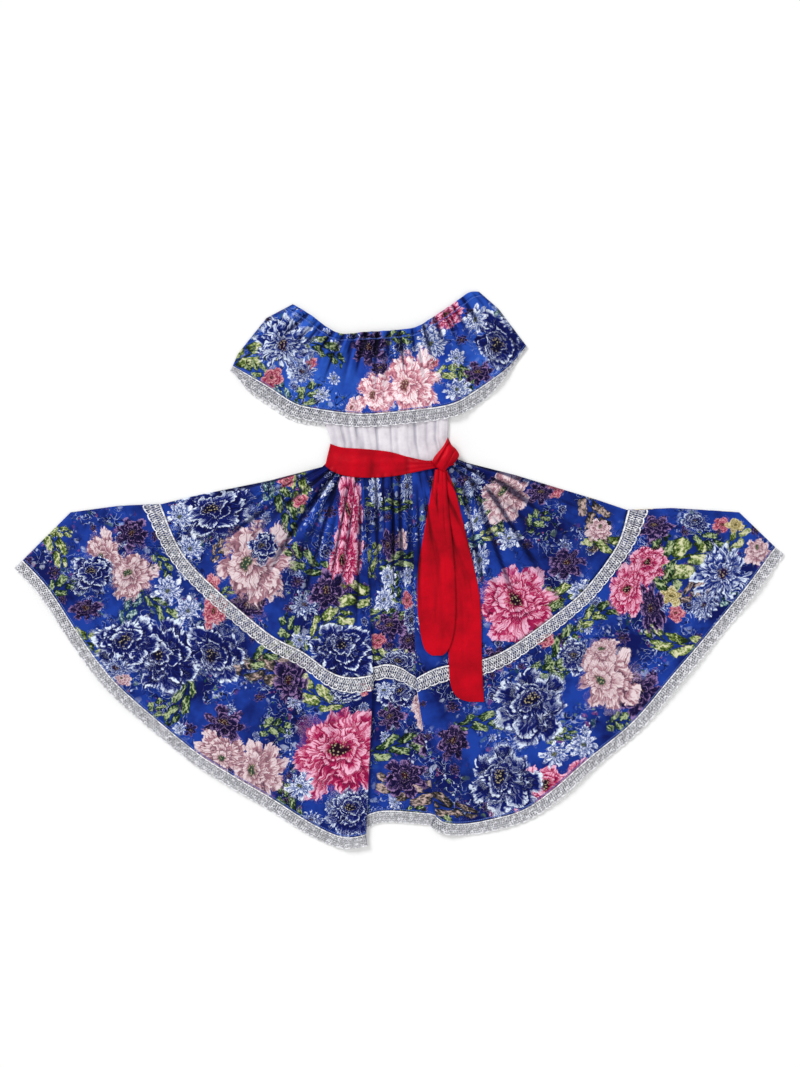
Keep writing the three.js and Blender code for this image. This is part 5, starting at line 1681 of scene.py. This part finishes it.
def add_sash():
    """Sash band with slanting pleats, and the two tails from the knot, each over the one before."""
    place = patch(curve(SASH_TOP), curve(SASH_BOTTOM), reach=1)
    back = flat_grid(place, np.linspace(0, 1, BAND_BACK_ROWS), BAND_BACK_COLUMNS,
                     lambda t, v, plan: SASH_WALL / 2)
    add_sheet("sash_band_back", back, SATEEN)

    def height(t, v, plan):
        slanted = v + 0.25 * t - 0.05 * np.sin(6 * t)
        pleats = PLEAT_HEIGHT * np.sin(np.pi * PLEATS * slanted) ** 2 * smooth(0.05, 0.5, t)
        edge = smooth(0, 0.12, v) * (1 - smooth(0.88, 1, v))
        return resting_over("sash_band_front", plan, SASH_WALL, SKIRT_PIECES, pleats * edge)

    front = flat_grid(place, np.linspace(0, 1, BAND_ROWS), BAND_COLUMNS, height)
    add_sheet("sash_band_front", front, SATEEN)
    below = list(SKIRT_PIECES)
    for name, outline in (("sash_tail_right", RIGHT_TAIL), ("sash_tail_left", LEFT_TAIL)):
        left = curve([(row[1], row[0]) for row in outline], by_length=False)
        right = curve([(row[2], row[0]) for row in outline], by_length=False)
        tail_place = patch(left, right)

        def tail_height(t, v, plan, name=name):
            edge = smooth(0, 0.1, t) * (1 - smooth(0.9, 1, t))
            return resting_over(name, plan, SASH_WALL, below, edge * creased(t, v, TAIL_CREASES))

        def across(t, v, tail_place=tail_place):
            return tail_place(v, t)

        tail = flat_grid(across, np.linspace(0, 1, TAIL_ROWS), TAIL_COLUMNS, tail_height)
        add_sheet(name, tail, SATEEN)
        below.append(f"{name}_cloth")


def add_knot():
    """The knot: a flattened wrapped lump, peaked above, with slanting fold ridges."""
    outline = spline_points([*KNOT_OUTLINE, KNOT_OUTLINE[0]], steps=8)[:-1]
    centre = np.array(KNOT_CENTRE, float)
    slant = np.array(KNOT_SLANT, float) / np.linalg.norm(KNOT_SLANT)
    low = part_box("sash_knot")[0][2] / MM
    share = np.sin(np.linspace(0, np.pi / 2, KNOT_RINGS))
    plan = centre + (outline - centre)[None, :, :] * share[:, None, None]
    along = (plan - centre) @ slant
    aside = (plan - centre) @ np.array([slant[1], -slant[0]])
    dome = np.sqrt(np.maximum(1 - share ** 2, 0))[:, None]
    wide = np.sin(aside / KNOT_WIDE_WAVE + 0.7 * np.sin(along / KNOT_SWAY))
    folds = wide + 0.5 * np.sin(aside / KNOT_NARROW_WAVE + 1.1)
    grooves = sum(depth * np.exp(-((aside - place) / width) ** 2) for place, width, depth in KNOT_GROOVES)
    top = KNOT_RIM + (KNOT_HEIGHT - KNOT_RIM) * dome + (KNOT_FOLD_HEIGHT * folds - grooves) * dome ** 0.5
    points = np.concatenate([joined(plan, low + top).reshape(-1, 3), joined(plan, low).reshape(-1, 3)])
    around = len(outline)
    number = np.arange(KNOT_RINGS * around).reshape(KNOT_RINGS, around)
    beside = np.roll(number, -1, axis=1)
    upper = np.stack([number[:-1], number[1:], beside[1:], beside[:-1]], -1).reshape(-1, 4)
    under = upper[:, ::-1] + number.size
    rim = np.stack([number[-1], number[-1] + number.size, beside[-1] + number.size, beside[-1]], -1)
    piece = new_piece("sash_knot_folded", points, np.concatenate([upper, under, rim]), RED)
    close_middle(piece)
    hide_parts("sash_knot")


def close_middle(piece):
    """Merges the points that meet at the middle of a piece made from rings."""
    shape = bmesh.new()
    shape.from_mesh(piece.data)
    bmesh.ops.remove_doubles(shape, verts=shape.verts, dist=1e-6)
    bmesh.ops.recalc_face_normals(shape, faces=shape.faces)
    shape.to_mesh(piece.data)
    shape.free()
    piece.data.shade_smooth()


# The studio, in metres: the floor, the lights as name, place, spread in degrees and power, the camera
FLOOR_HALF = 6.0
FLOOR_LEVEL = -0.0005
ROOM_LIGHT = 0.66
STUDIO_LIGHTS = [("key", (-2.6, 2.9, 2.3), 22, 2.5), ("fill", (2.6, -1.6, 3.4), 60, 0.25)]
CAMERA_LENS = 50
CAMERA_SENSOR = 36


def add_floor():
    """A pale studio floor, which is not part of the dress."""
    corners = [(-1, -1), (1, -1), (1, 1), (-1, 1)]
    mesh = bpy.data.meshes.new("floor")
    mesh.from_pydata([(x * FLOOR_HALF, y * FLOOR_HALF, FLOOR_LEVEL) for x, y in corners], [], [(0, 1, 2, 3)])
    floor = in_scene("floor", mesh)
    material, _, shader = new_material("studio_floor", 0.9, 0.0)
    shader["Base Color"].default_value = linear("#f4f4f4")
    mesh.materials.append(material)


def add_light(name, place, spread, power):
    """A soft studio light from far off, so that it falls evenly; spread in degrees."""
    light = bpy.data.lights.new(name, "SUN")
    light.angle = math.radians(spread)
    light.energy = power
    lamp = in_scene(name, light)
    lamp.location = place
    lamp.rotation_euler = (-Vector(place)).to_track_quat("-Z", "Y").to_euler()


def add_studio():
    """White room, two soft lights, and the camera straight above the photo's middle."""
    scene = bpy.context.scene
    world = bpy.data.worlds.new("studio")
    world.use_nodes = True
    background = world.node_tree.nodes["Background"].inputs
    background["Color"].default_value = (1, 1, 1, 1)
    background["Strength"].default_value = ROOM_LIGHT
    scene.world = world
    for light in STUDIO_LIGHTS:
        add_light(*light)
    scene.view_settings.view_transform = "Standard"
    camera = bpy.data.cameras.new("camera")
    camera.lens = CAMERA_LENS
    camera.sensor_width = CAMERA_SENSOR
    camera.sensor_fit = "AUTO"
    viewer = in_scene("camera", camera)
    wide, high = PHOTO_SIZE
    photo_centre = np.array([wide / 2 - PHOTO_MIDDLE[0], PHOTO_MIDDLE[1] - high / 2]) * PHOTO_SCALE * MM
    viewer.location = (*(photo_centre + PLAN_SHIFT), high * PHOTO_SCALE * MM * CAMERA_LENS / CAMERA_SENSOR)
    scene.camera = viewer


add_floor()
add_studio()
add_skirt_back()
add_ruffle_back()
add_bodice()
add_skirt_front()
add_ruffle_front()
add_sash()
add_knot()
